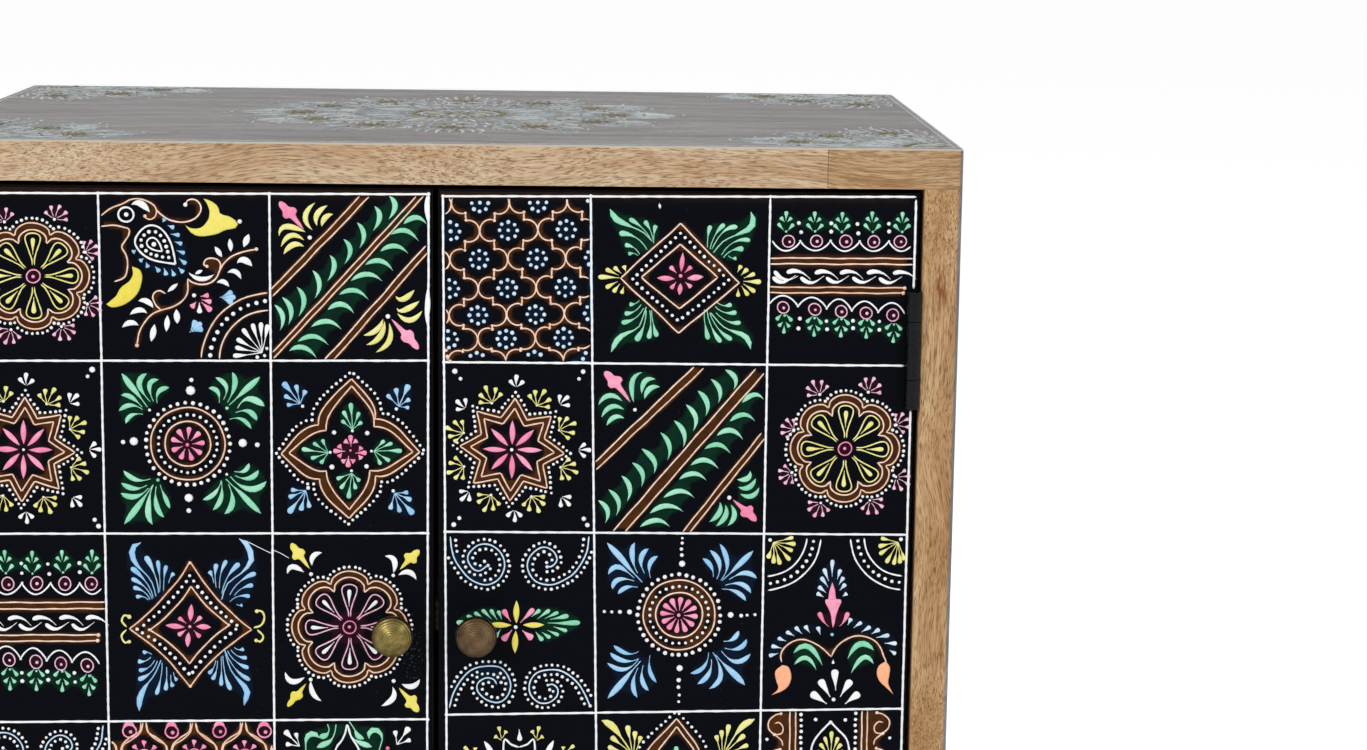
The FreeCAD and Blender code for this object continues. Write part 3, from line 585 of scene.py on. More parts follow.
def leafy_lozenge(tile):
    """Lozenge with a pink flower, green palmettes towards the corners and yellow fans at its side tips."""
    lozenge(
        tile, (0, 24.6, 25.3, -0.8, -0.5, -22.7, -25.7, 0.9),
        (-0.1, 15.7, 16.2, 1.5, -0.2, -12.2, -16.7, 1.3), (0, 20.5, 21, 0.3, -0.7, -17.4, -20.7, 0.5), 0,
        2.9, 1.6)
    tile.dots("pink", (0, 2), 1.7)
    tile.strokes(
        "pink", "leaf", 2.4, (0.4, 4, 0.9, 12.3), (0, -1.2, -0.2, -6.4), (-2.4, 0.8, -9.8, 1.3),
        (2.8, 1, 9.8, 1.6, 2.8))
    tile.strokes(
        "pink", "drop", 2.2, (-1.6, 3.4, -4.4, 6.2), (1.8, 3.6, 4.8, 6.2), (-1.8, -0.6, -4, -3.6),
        (2, -0.6, 4.7, -2.9))
    tile.strokes(
        "green", "swash", 2.9, (-12.1, 16.9, -16.1, 21.1, -21.5, 23.4, -27.3, 26.1, -30, 30.7),
        (14.3, 12.3, 18.5, 17.3, 24.6, 20.3, 29.3, 22.3, 31.2, 25.7, 30.2, 29.9),
        (-14.6, -11.6, -16.2, -16.5, -18.4, -20.8, -25.4, -24.3, -28, -27.5, -29.6, -31.2),
        (13.1, -13.9, 18.5, -20, 26.9, -23.1, 29.5, -26, 30.6, -29.7))
    tile.arched(
        "green", "tadpole", 2.3, (-12.7, 17.6, -16.1, 22.6, -21.9, 26.5), (-11.9, 17.6, -15.4, 25.7),
        (-11.5, 16.1, -10.6, 24, 2.2), (-14.2, 13.4, -19.2, 18.8, -26.1, 20.1, 2.7),
        (-17.3, 11.3, -23.8, 15.3), (-18, 10.7, -22.3, 11.3, 2.1), (11.6, 14.6, 12.9, 23.8),
        (12.7, 13.8, 18.9, 24.6), (13.5, 13.8, 18.5, 21.5, 24.3, 23.4), (17.7, 11.1, 23.1, 16.9, 30, 17.3),
        (18.5, 9.9, 27, 13.8, 2.6), (20.5, 10.7, 23.9, 9.8, 2), (-17.7, -8.5, -21.9, -10.1),
        (-16.9, -10.4, -23.8, -14.4), (-15.7, -12, -25, -18.5), (-14.6, -13.1, -18.8, -26.2, 2.8),
        (-13, -13.1, -13.4, -25.1), (-12.3, -13.1, -9.8, -24.3), (15.8, -9.3, 22.3, -10.1, 2.2),
        (15, -11.2, 24.3, -13.5, 2.2), (15.4, -13.9, 26.2, -17.9), (10.4, -12.4, 12.3, -25.4),
        (11.6, -13.1, 17.7, -26.6), (12.7, -13.9, 22.3, -25.4))
    tile.strokes(
        "yellow", "drop", 2.1, (-26, 1, -35, 1.5, 2.4), (-26.6, 2.2, -31.9, 4.9), (-25.4, 3, -28.4, 5.9),
        (-23.4, 3.8, -24.2, 6.5), (-27, -0.6, -31.9, -3.4), (-26, -1.6, -28.6, -5.3),
        (-24.2, -2.6, -25.1, -5.8), (27, 0, 34.6, -0.4, 2.4), (27.2, 1.4, 32, 3.4), (26, 2.6, 28.9, 5.5),
        (24.6, 3.8, 26, 6.9), (27, -1.2, 32.2, -4.8), (26.2, -2.2, 29.3, -6.4), (24.8, -3.4, 25, -7))
    tile.strokes("white", "leaf", 1.3, (-9.2, 33.2, -8.8, 31))


def fountain_lozenge(tile):
    """Lozenge with hollow sides, blue sprays that arch away, a long stroke to each corner, yellow curls."""
    lozenge(
        tile, (0.4, 29.6, 26.7, -1, -0.6, -26.7, -26.3, -0.4), (0.6, 18.4, 17, 1.1, -0.4, -16.2, -17.5, -1),
        (0.2, 23.2, 21.3, 0.3, -0.2, -21.6, -23, -0.6), 0.05, 3, 1.7)
    tile.dots("orange", (0.4, 29, -17.6, -0.8, 17, 1.1, -0.6, -26.2), 1.6)
    tile.dots("pink", (0, 0.6), 1.7)
    tile.strokes(
        "pink", "leaf", 2.7, (0.2, 3, 0.6, 10.7), (2.6, 0.6, 9, 0), (-2.4, 0.2, -10.6, 1.3),
        (-0.6, -2.2, -1.1, -8.9))
    tile.strokes(
        "pink", "drop", 2.2, (-1.6, 2, -4.8, 4.6), (1.7, 2, 4.8, 5), (-1.8, -1, -5.2, -3.5),
        (1.6, -1.2, 4.4, -4.3))
    tile.strokes(
        "blue", "swash", 3.1, (-14.4, 14.2, -16.8, 21.9, -22.5, 28, -24.4, 32.7, -23.7, 36.5, -20.6, 38.2),
        (14, 12.7, 16.3, 19.6, 22.5, 24.6, 25.6, 27.7, 27.1, 31.1, 25.2, 36.5, 21.7, 39.6),
        (-12.9, -14.7, -16, -21.5, -19.8, -26.6, -22.5, -32, -22.7, -37.3),
        (14.8, -10, 17.1, -18.9, 22.5, -25.8, 24.4, -28.9, 23, -35.4))
    tile.arched(
        "blue", "tadpole", 2.15, (-13.3, 15.7, -18.9, 31.9, 2.8), (-12.9, 16.1, -13.7, 30),
        (-11.1, 16.5, -9.8, 28), (-9, 20, -6.7, 24.6), (-15.6, 13.6, -25.2, 26.7, 2.6), (-16, 13, -25, 21.9),
        (-17, 12.8, -24.4, 18), (-17.6, 12.4, -23.3, 13.8), (14, 15.3, 21.7, 28.8, 2.6),
        (12.9, 17.7, 16, 30), (11.5, 18, 11.7, 28.4), (10.6, 20, 8.7, 25.3), (17.5, 14.6, 28.7, 24.2, 2.6),
        (19.4, 14.2, 27.5, 18.8), (17.5, 11.5, 26, 13.8, 2), (20.2, 10.3, 22.7, 10, 1.7),
        (-16.7, -12, -20.6, -11), (-17.1, -13.1, -22.7, -15), (-15.6, -14.7, -22.5, -19.3),
        (-14.4, -15, -22.9, -23.5, 2.6), (-12.5, -15.8, -15.2, -30), (-10.6, -17.7, -11.1, -28.1),
        (-8.7, -21.2, -8, -26.6, 2), (-7.5, -20, -6.1, -23.7, 2), (19, -8.9, 23.3, -9.7, 1.9),
        (17.5, -10, 24.4, -13.7, 2.1), (16, -10.4, 25.2, -18.1), (15.2, -10.8, 25.6, -23.5),
        (14, -12.7, 17.3, -28.1), (13.3, -13.1, 13.3, -26.2), (11.7, -15, 9.4, -23.5),
        (11, -14.7, 7.7, -20.8, 2))
    tile.curves(
        "yellow", 1.2, (27.5, 0, 30.6, 1.1, 32.1, 4.2, 31.3, 7.1, 29, 7.7),
        (29, -1, 31.7, -3.9, 30.6, -6.4, 28.6, -5.8), (-27.5, 0.3, -29.4, 3, -28.3, 5.7, -26, 5),
        (-27.5, -0.9, -29.6, -3.6, -28.3, -6.6, -26.4, -6.2))
    tile.dots("yellow", (29, 7.4, 28.6, -6, -26.2, 5.1, -26.4, -6.2), 2)
    tile.curves("white", 0.35, (24, 38.8, 29, 36.4, 36, 33))


def sprig(tile, top, *sides):
    """A green drop ahead and pairs of drops beside a stem: each gives the spread and height of its heads."""
    tile.stroke("green", "drop", [(0, 0.52 * top), (0, top)], 1.9)
    for spread, level in sides:
        for side in (-1, 1):
            root = (0.25 * spread * side, level - 0.85 * spread)
            tile.stroke("green", "drop", [root, (spread * side, level)], 1.9)


def bands(tile):
    """Sprigs, rings and scallops above and below a twisted vine that runs between double lines."""
    wide = tile.half[0] - 0.4
    lower = tile.shaped([[1, 0], [-0.068, 1]])
    for x, top in zip((-24.4, -11.9, -0.4, 12.7, 25.4), (21.6, 21.6, 21.4, 21.6, 21.6)):
        sprig(tile.moved(x, top), 8.6, (2.4, 5.9), (3.4, 3.2))
        tile.dots("green", (x + 0.2, top - 0.2), 1.3)
    for x, top in zip((-24.4, -11.2, 0.2, 11.3, 23), (-17.2, -17.4, -17, -16.6, -17.6)):
        sprig(lower.moved(x, top).flipped(1, -1), 7.4, (2.4, 4.4), (3.4, 1.6))
        lower.dots("green", (x + 0.2, top + 0.6), 1.3)
    tile.dots(
        "white",
        (-18.8, 25.2, -18, 21.4, -5.1, 25.2, -4.7, 21.5, 6.4, 24.8, 6.7, 21, 19.9, 25.2, 20.3, 21.8), 1.9)
    lower.dots(
        "white",
        (-17.6, -17.4, -18, -21.6, -6, -17.6, -5.6, -21, 5.2, -16.6, 5.4, -20, 16.8, -16.4, 17, -19.8), 1.9)
    rings = [(tile, x, 17.3) for x in (-23.2, -11, 1.4, 13.5, 24.9)]
    rings += [(lower, x, -13) for x in (-24.8, -11.2, 0.2, 11, 22.4)]
    for place, x, level in rings:
        place.ring("rose", 2.6, FINE, (x, level))
        place.dots("rose", (x + 0.3, level - 0.2), 1.5)
    t = np.linspace(0, 1, 14)
    for place, level, depth, cusps in (
        (tile, 17.5, 4.4, (-30, -18, -5, 7.3, 20, 31)),
        (lower, -12.2, -4.4, (-31, -18.2, -6.2, 4.8, 16.2, 27.6)),
    ):
        for start, end in zip(cusps, cusps[1:]):
            scallop = np.stack([start + (end - start) * t, level - depth * np.sin(np.pi * t) ** 0.8], axis=1)
            place.line("white", scallop[:12 if end > 30 else 14], FINE)
        place.dots("white", [(x, level) for x in cusps[1:-1]], 1.2)
    for level, end in ((10, wide), (7.5, wide), (-2.6, 27.5), (-5, 27)):
        tile.line("orange", [(-wide, level), (end, level)])
    tile.dots("orange", (27, -5, 27.4, -2.8), 1.9)
    for x in (-23.6, -11.6, -0.8, 10.8, 22):
        tile.strokes("white", "drop", 2.2, (x + 10.2, 1, x + 7.4, 3.4, x + 3.4, 4.4, x, 3.6))
        tile.strokes("white", "drop", 2.1, (x + 4, 2.4, x - 0.4, -0.3, x - 3.4, -0.1, x - 6, 1.7))
    tile.strokes("white", "drop", 2.2, (-18.6, 2.2, -22, 0.6, -26, 1.4, -29, 4.4))


def star(tile):
    """Double eight-pointed star with a pink flower, edged with dots, and small fans round it."""
    tile = tile.moved(-2.9, -0.8)
    for outer, inner in ((22.6, 14.6), (18.2, 11.7)):
        tile.line("orange", star_path(outer, inner, 86.5))
    tile.beads("white", star_path(25.4, 17.4, 86.5), 2.3, 1.45)
    for k in range(8):
        tile.stroke("pink", "leaf", polar(np.array([2.4, 12.8]), 89 + 45 * k), 2.7)
    tile.dots("white", (0, 0), 1.6)
    for heading in (112, 61, 23, -20, -68, -115, -160, 161):
        base = polar(22.2, heading)
        tile.fan("yellow", base, heading, {0: 8, 33: 6.8, 64: 5.8}, 2.2, "tadpole", 0.1)
        tile.dots("white", base, 1.3)
    for heading, reach in zip((86, 44, 0, -45, -89, -135, 138), (27.4, 28.6, 28.5, 29.4, 26.6, 26.4, 26.7)):
        tile.fan("white", polar(reach, heading), heading, {0: 5.6, 44: 4.4}, 2.1, "drop", 0.1)
    tile.sized_dots(
        "white", (-24.3, 34.2, 2.4), (-21.9, 30.8, 1.9), (30.9, 34.2, 2.6), (28.9, 31.2, 2),
        (-25.5, -33.2, 2.2), (-23.3, -30.4, 2), (32.1, -33.2, 2.5), (30.5, -30.4, 2))


def buds(tile, colour, *rows):
    """Notched buds: each edge runs from a round tip in to a neck, out to a lobe and in again to a thin tail.

    A row gives the tip, the two lobes and the tail."""
    along = np.array([1, 0.93, 0.7, 0.4, 0.16, -0.1, -0.24])[:, None]
    out = np.array([0, 0.26, 0.5, 0.56, 1, 0.94, 0.42])[:, None]
    for row in rows:
        tip, *lobes, tail = pairs(row)
        axis = tip - tail
        edges = []
        for lobe in lobes:
            middle = tail + axis * ((lobe - tail) @ axis / (axis @ axis))
            aside = lobe - middle
            rise = 1 - norm(middle - tail) / norm(axis)
            edge = middle + along * rise * axis + out * aside
            edges.append(np.concatenate([edge, [tail + 0.16 * axis + 0.2 * aside, tail]]).ravel())
        tile.patch(colour, *edges)


def stripes(tile, lines, uprights, flats):
    """Three pairs of slanting lines with two rows of bent green leaves between them."""
    for line in lines:
        tile.line("orange", pairs(line))
    for row, aside in ((uprights, (2.5, 0.3)), (flats, (0.6, 3))):
        for leaf in row:
            start, end = pairs(leaf)
            tile.stroke("green", "crescent", [start, 0.52 * start + 0.48 * end + aside, end], 2.55)


def yellow_stripes(tile):
    """Stripes with a pink bud between yellow leaves in two corners, and blots over the mended ruling."""
    stripes(
        tile,
        ((-33.4, -5.2, 4.5, 34.8), (-32.6, -8.2, 8.5, 34.8), (-32.8, -32.3, 28.4, 34.8),
         (-32.4, -35, 31.5, 34.8), (-10.5, -35.4, 32.4, 13.8), (-6.6, -35.4, 33.2, 10.8)),
        ((17, 35, 16.7, 25), (10.7, 30.8, 10.3, 20), (3.4, 23.8, 4.2, 12.7), (-2.4, 16.5, -2, 5.8),
         (-8.2, 9.6, -9.3, -1.5), (-15.7, 3.1, -14.9, -8.8), (-22.2, -4.2, -21.5, -16.7),
         (-28.5, -8.5, -26, -20.2), (-32, -11.9, -29.7, -22.7)),
        ((23, 23.1, 33, 23.1), (17.6, 18.7, 29.5, 15.8), (13.4, 11.4, 24.9, 10.4), (6.8, 5.8, 18.8, 2.8),
         (0.7, -1.2, 14, -1.5), (-4.2, -7.3, 8, -9.6), (-9.3, -13.8, 2.1, -15.4),
         (-16.2, -21.4, -3.5, -22.3), (-22, -27.7, -8.9, -29.2), (-25.8, -31.8, -14.1, -34.6)))
    buds(
        tile, "pink", (-29.5, 32.7, -22, 29.6, -27.8, 25.4, -18.9, 20.4),
        (29.5, -31, 26.8, -22.7, 21.8, -26.9, 17.6, -17.6))
    tile.dots("white", (-16.8, 17.3, 16.1, -16.5), 2.1)
    tile.strokes(
        "yellow", "leaf", 2.7, (-15.5, 20.4, -18.5, 26.2, -14.5, 32.3),
        (-13.5, 22.3, -13.5, 27.3, -9.3, 30.9), (-11.6, 22.1, -10.1, 25.8, -6.8, 27.2),
        (-18.5, 19.6, -27, 21.9, -29.7, 17.7), (-19.2, 16.2, -24.7, 18.1, -29.1, 13.1),
        (-19.3, 13.6, -23.9, 14.2, -28, 10), (19.7, -7.9, 23, -9.2, 27.8, -5),
        (20.1, -13.1, 23, -14.2, 29.9, -10), (20.3, -15.4, 25.7, -18.5, 31.1, -14.2),
        (14.2, -17.7, 11.5, -22.7, 5.9, -24.8), (14.9, -18.8, 13, -25.8, 7.2, -29),
        (16.8, -19.6, 17, -27.3, 11.1, -32.3))
    tile.strokes("white", "leaf", 2.6, (33.4, 24, 33, 35.4), (33.5, -4, 33.2, -20.4))


def green_stripes(tile):
    """Stripes with a pink bud between green leaves in two corners."""
    stripes(
        tile,
        ((-36.4, -6, 6, 36.2), (-36, -9.4, 10.4, 35.6), (-28.6, -36.4, 32.6, 35.6),
         (-23.4, -36.6, 36.4, 33.6), (1.6, -36.6, 35.6, 7.4), (4.8, -36.6, 36.8, 4.8)),
        ((19.6, 34.8, 23.4, 26.4), (13.4, 30.6, 16.6, 20.4), (7.6, 25.6, 11, 14.8), (2.8, 19.4, 6, 7.8),
         (-2.4, 12.6, 1.6, 0.8), (-8.4, 7.2, -5.4, -5), (-16.2, 0, -10.8, -11), (-20.4, -6, -16.4, -16.8),
         (-25.2, -12, -22.8, -23.4), (-30.6, -18, -27.2, -29.6), (-35, -23, -32, -33)),
        ((27, 20.4, 36.2, 22), (21.8, 12.2, 32.6, 12.4), (16, 6, 27.6, 4.6), (11, 0, 22, -1.8),
         (5, -7, 17, -8.6), (-0.2, -13.4, 11.8, -13.8), (-6.6, -21.4, 6.4, -21.6),
         (-12.8, -28.4, 1.8, -27.8), (-17, -34.6, -4, -34.6)))
    buds(
        tile, "pink", (-32.6, 33.8, -24.6, 31, -30.4, 26.4, -21.2, 20.4),
        (33.6, -31.8, 31.6, -24.8, 26.6, -29.4, 23.4, -22))
    tile.dots("white", (-19.2, 17.2, 21.8, -21.2), 2.1)
    tile.strokes(
        "green", "leaf", 2.6, (-19.8, 20.6, -20.6, 29.4, -16, 33.4), (-16.4, 24.4, -15, 29.6, -10.4, 30.6),
        (-15.2, 22, -12.8, 26.4, -8.4, 27.4), (-24.8, 20.8, -30.6, 23.2, -35, 19),
        (-24, 17.2, -29.4, 18.4, -33.6, 13.6), (-24, 13.4, -28, 14, -31.6, 10.2),
        (25, -13.4, 29.4, -12.8, 30.6, -9.4), (25.6, -16.6, 30, -16.8, 33, -12.6),
        (26.6, -19.6, 31.4, -20.6, 34.6, -16.6), (17.8, -23.4, 17.4, -28, 13, -32),
        (20.2, -24.6, 20, -29.6, 16, -34), (22.6, -24.4, 24, -29.6, 21.2, -34))


def rosette(tile, lobe, cusp, bead, outline, inner, drops):
    """Eight-lobed double ring edged with dots; in each lobe a teardrop outline with a drop in it."""
    tile.line("orange", lobed_path(lobe[0], cusp[0]))
    tile.line("orange", lobed_path(lobe[1], cusp[1]))
    tile.beads("white", lobed_path(*bead), 2.3, 1.5)
    t = np.sin(np.linspace(0, np.pi / 2, 22))
    half = 3.3 * swell("drop", t)
    for k in range(8):
        petal = tile.turned(45 * k)
        side = np.stack([4.8 + 14.2 * t, half], axis=1)
        petal.line(outline, np.concatenate([side, side[::-1] * (1, -1)]), FINE)
        petal.strokes(inner, "drop", drops, (9.4, 0, 16.8, 0))
    tile.ring("pink", 2.9, FINE)
    tile.dots("pink", (0, 0), 1.6)


def fanned_rosette(tile):
    """Rosette with yellow petals and small pink fans all round."""
    tile = tile.moved(3.2, 0.6)
    rosette(tile, (23.7, 20.6), (19.4, 15.6), (25.7, 22.2), "yellow", "yellow", 2.2)
    headings = (116, 69, 26, -29, -63, -113, -155, 160)
    for heading, reach in zip(headings, (26.6, 26.8, 24.4, 25.8, 25.4, 26, 25.2, 23.8)):
        place = polar(reach, heading)
        tile.dots("white", place, 1.5)
        room = {0: 7, 34: 6.4, 68: 5.4} if reach > 25.3 else {0: 6, 34: 6, 68: 5}
        tile.fan("rose", place, heading, room, 1.9, "tadpole", 0.2)


def budded_rosette(tile):
    """Rosette with pink petals, and a yellow bud with two white leaves in each corner."""
    middle = tile.moved(-0.4, -0.1)
    rosette(middle, (25, 22.2), (20.7, 17), (27, 23.6), "rose", "white", 2)
    buds(
        tile, "lemon", (-25.5, 37.7, -19.4, 34, -25.2, 30.2, -17.5, 26),
        (29.8, 34.4, 23.2, 32.5, 28.3, 28.3, 21.4, 25.6),
        (-27.5, -35.6, -25.9, -29, -20.9, -31.7, -19.5, -25.2),
        (29.8, -38.3, 28.7, -31, 23.3, -36, 21.2, -27.3))
    tile.dots("white", (-17.3, 23.7, 18.7, 23.3, -17.3, -23.5, 18.7, -24.2), 1.9)
    tile.strokes(
        "white", "leaf", 2.8, (-16.5, 27.5, -15.9, 31.6, -12.1, 33.3), (-20.2, 24.7, -25.2, 27, -27.1, 23.7),
        (18.7, 24.4, 19.1, 29.8, 15.2, 31.6), (21, 23.3, 25.6, 24.4, 28.7, 21),
        (-20.2, -22.5, -25.5, -24.6, -28.6, -20.2), (-17.5, -24, -16.7, -29.4, -12.8, -33.3),
        (18.3, -27.1, 18.5, -32.1, 13.2, -35.6), (22.5, -25.6, 27.2, -26.9, 30.2, -23.6))
    tile.curves("white", 0.35, (-33.4, 34.6, -30, 33, -26.5, 30.8))


def spirals(tile):
    """Four spirals from the corners between rows of dots, round a flower with feathered leaves."""
    for row in (
        (-30, 39, -29.4, 33, -27, 26.6, -22, 20.4, -15.6, 17.4, -9.6, 19.6, -6.6, 25.4, -7.8, 31, -12, 34.8,
         -17.6, 35.2, -21.6, 32, -22.6, 28.4, -20.6, 24.8, -17.6, 23.8, -14.2, 26.2),
        (30, 39, 28.6, 30.4, 24, 23, 18, 18.8, 12.6, 17.4, 6.8, 19, 3.4, 24, 4, 29, 7.4, 33, 11, 34,
         14.6, 32, 16, 28.4, 14, 25.8, 11.6, 25.4),
        (-31.6, -38, -29.4, -31, -25.6, -24.6, -21, -20.6, -15, -19, -9.4, -19.6, -6, -23, -4.6, -28,
         -6.2, -33, -10, -35.6, -15, -34.6, -18.6, -31, -18.8, -27, -15.4, -24.4, -12, -25, -10.6, -27.4),
        (30.2, -37.4, 28, -32, 23.6, -25.6, 18, -21.6, 12.6, -20.8, 7, -22.4, 4, -26.4, 4.2, -31.6,
         7.6, -35.6, 12, -36, 15.4, -33.2, 16, -29.6, 14, -27.4, 11.8, -27.8),
    ):
        path = even(through(pairs(row)), 0.9)
        tile.line("ice", path)
        step = np.diff(path, axis=0)
        inwards = np.sign((step[:-1, 0] * step[1:, 1] - step[:-1, 1] * step[1:, 0]).sum())
        kept = np.full((1, 2), 999)
        for offset in (-2.1 * inwards, 2.1 * inwards):
            beads = even(beside(path, offset)[2:], 2.6)
            off_line = norm(beads[:, None] - path[None], axis=2).min(axis=1)
            off_beads = norm(beads[:, None] - kept[None], axis=2).min(axis=1)
            kept = beads[(off_line > 1.7) & (off_beads > 2) & tile.within(beads, 1.2)]
            tile.dots("white", kept, 1.55)
    tile.dots("ice", (30.2, -37.2, -14.2, 26.2, 11.6, 25.4, 11.8, -27.8), 1.6)
    tile.strokes(
        "lemon", "leaf", 3, (-1.8, 0, -1.8, 10.4), (-2.2, -3.4, -2.4, -13.2), (-4, -0.8, -14, -0.4),
        (1, -0.8, 10.4, -0.6))
    tile.strokes(
        "pink", "drop", 3, (-0.2, 0.2, 6, 6.6, 2.6), (-4.2, 0.8, -7.6, 6.4), (0.6, -3.2, 5.2, -6.8, 3.4),
        (-3.8, -3, -7.8, -7.6, 3.2))
    tile.dots("white", (-2.2, -1.6), 1.9)
    tile.strokes(
        "green", "drop", 1.95, (4.8, 3, 8.8, 6), (7.4, 2, 13, 6), (10.6, 2, 16.6, 5.2),
        (13, 1.8, 21, 3.6, 2.4), (12, 0.2, 26, 0.2, 2.6), (14.6, -1.4, 20.4, -3.4), (11.8, -3, 16.8, -5.4),
        (9.4, -3.8, 13, -6.6), (6.6, -3.6, 9.6, -7.6, 2.4), (-8, 2, -9.8, 6), (-10, 1.8, -13, 6.4),
        (-12.4, 2, -16.6, 6.2), (-15.6, 2, -20, 5), (-18, 1.6, -23.4, 3.6), (-18, 0.4, -28, 0.4, 2.6),
        (-18, -1.4, -22.6, -3.4), (-15, -2, -19.2, -5), (-12, -2.4, -15.4, -6), (-8.6, -2.6, -11, -6.6))


def wheel(tile, dots, rings, petals, reach):
    """Rings of dots and lines round a pink flower."""
    tile.beads("white", polar(dots[0], np.linspace(0, 360, 90)), 3.2, 1.95)
    tile.beads("white", polar(dots[1], np.linspace(0, 360, 90)), 2.9, 1.55)
    for radius in rings:
        tile.ring("orange", radius)
    for k in range(petals):
        tile.stroke("pink", "drop", polar(np.array([2.2, reach]), 84 + 360 / petals * k), 2.5)
    tile.dots("pink", (0, -0.2), 1.7)


def blue_wheel(tile):
    """Wheel with blue fans to the corners and lines of shrinking dots to the sides."""
    wheel(tile.moved(0.1, 3.6), (18.1, 12.9), (15.7, 10.2), 12, 8.2)
    tile.strokes(
        "blue", "frond", 2.55, (-16, 18.4, -31.4, 36, 3.1), (-18, 22.6, -20.4, 30.4, -19.2, 36),
        (-15, 22.4, -16.4, 29, -13.4, 33.4), (-12.4, 20.2, -12.6, 26.4, -9.2, 30.2, 2.4),
        (-19.6, 20.4, -26.6, 25.2, -30.8, 22), (-19.6, 19, -26.6, 19.6, -29, 15.4),
        (-18, 16, -23, 16, -26.6, 13.2, 2.3), (19, 19, 32.4, 32.4, 3.1), (18.4, 19, 21, 27, 17.6, 35.4),
        (16.6, 19.6, 17.6, 27, 13.4, 32.4), (15, 20.6, 14, 25.6, 10.4, 28.8, 2.4),
        (22, 19.4, 28.6, 22.2, 34, 20), (20.4, 16.8, 27, 17.4, 31.4, 13.4), (19, 15, 25, 14, 29.4, 10, 2.3),
        (16, -14.6, 29.2, -28.2, 3.1), (15, -13.6, 18.6, -23.6, 13.6, -29.8),
        (14.4, -16.6, 13.4, -23, 8.4, -27.6), (13.2, -13.6, 11, -20, 5.2, -23, 2.3),
        (18.6, -12.8, 25.4, -17.6, 31.6, -14), (20, -11.4, 26.4, -11.6, 29.8, -7.4),
        (19.6, -8.4, 24, -7.4, 26.4, -3.8, 2.3), (-16.6, -17, -31, -34, 3.1),
        (-17.6, -20, -20, -28, -18, -33.8), (-15.4, -19, -15.8, -26, -13, -30.6),
        (-12.6, -14.6, -12.4, -21.6, -9.6, -27, 2.3), (-17.6, -16.4, -24, -21, -31.2, -18),
        (-17.4, -16, -24, -17.2, -30, -13.4), (-17.4, -12.8, -22.6, -13.8, -28.6, -10, 2.4))
    tile.sized_dots(
        "white", (1.2, 26.4, 2.8), (1.3, 30.4, 1.9), (1.2, 33.4, 1.7), (1.4, 35.8, 1.6), (1.4, 38, 1.4),
        (0.4, -20.4, 3), (0.2, -25.8, 2.1), (0.1, -29, 1.9), (0.2, -32.4, 1.7), (0, -35.6, 1.6),
        (-21.8, 5, 2.6), (-25.6, 5.1, 1.8), (-29, 5, 1.7), (-32.6, 5, 1.7), (22.8, 3.6, 2.7),
        (27.2, 3.3, 1.9), (29.8, 3.5, 1.7), (33.2, 3.5, 1.6))


def green_wheel(tile):
    """Wheel with green leaf fans to the corners and two white dots on each side."""
    wheel(tile.moved(0.1, 1.6), (18, 12.7), (15.9, 9.8), 9, 7.4)
    tile.sized_dots(
        "white", (1.7, 25.1, 4.4), (2.1, 29.9, 2.4), (0.15, -22, 4.3), (-0.1, -27.7, 2.2), (-22.8, 2.8, 4.3),
        (-27.5, 2.7, 2.4), (23.8, 1.9, 4.4), (30.2, 1.2, 2.2), (-16, 16.7, 1.6), (16.5, -11.6, 1.6))
    tile.dots("green", (17.3, 17.1, -12.9, -14.5), 1.7)
    tile.strokes(
        "green", "frond", 2.55, (18.2, 18.6, 31.3, 30.9, 3.3), (17.5, 19.7, 20.5, 27.1, 19.6, 32.9),
        (15.9, 20.9, 16.9, 26.7, 12.6, 30.7), (14, 19.4, 13.2, 24.4, 9.5, 25.9, 2.3),
        (21.7, 17.4, 26.3, 21.3, 33.1, 18.2, 3.2), (20.9, 15.5, 26.3, 15.9, 30, 11.7, 3),
        (18.2, 12.4, 23.4, 12.6, 27.5, 8.2, 2.3), (-16.8, 17.8, -27.7, 32.4, 3.1),
        (-15.6, 20.1, -20.1, 27.4, -16.8, 32.4, 3), (-14.1, 20.1, -15.8, 27.1, -11.8, 29.7),
        (-12.5, 19.4, -11.8, 24.4, -7.5, 26.3, 2.4), (-19.1, 17.8, -24.1, 22.1, -28, 22.8),
        (-18.9, 16.7, -24.1, 18.4, -29, 16), (-18.9, 14.7, -23.8, 14, -26.2, 10.5, 2.2),
        (-16, -13.7, -22.5, -13.9, -27.5, -10.3), (-17.5, -16.4, -23.3, -17.9, -28.7, -15.6, 2.5),
        (-16.8, -17.7, -22.9, -21.6, -29, -19.9, 3), (-14.8, -16.4, -27.5, -33.7, 3.4),
        (-14.8, -16.4, -17.4, -26.8, -15.6, -33.7, 3), (-13.5, -17.2, -13.7, -25.3, -10.4, -30.6),
        (-11.8, -16.4, -10.5, -20.6, -7.7, -26.8, 2.4), (19.8, -10.3, 24.2, -10.3, 26.2, -6.8, 2.4),
        (20.2, -12.2, 26.3, -13.7, 30.5, -9.9), (18.2, -12.6, 26.3, -18.5, 33.6, -14.9, 3.4),
        (16.3, -13.7, 31.1, -29.1, 3.1), (17.5, -16, 19, -24.5, 15.7, -29.3, 3),
        (14.4, -14.5, 14.2, -22.2, 10.5, -27.6), (14.4, -14.5, 11.7, -19.9, 6.3, -22.9, 2.3))


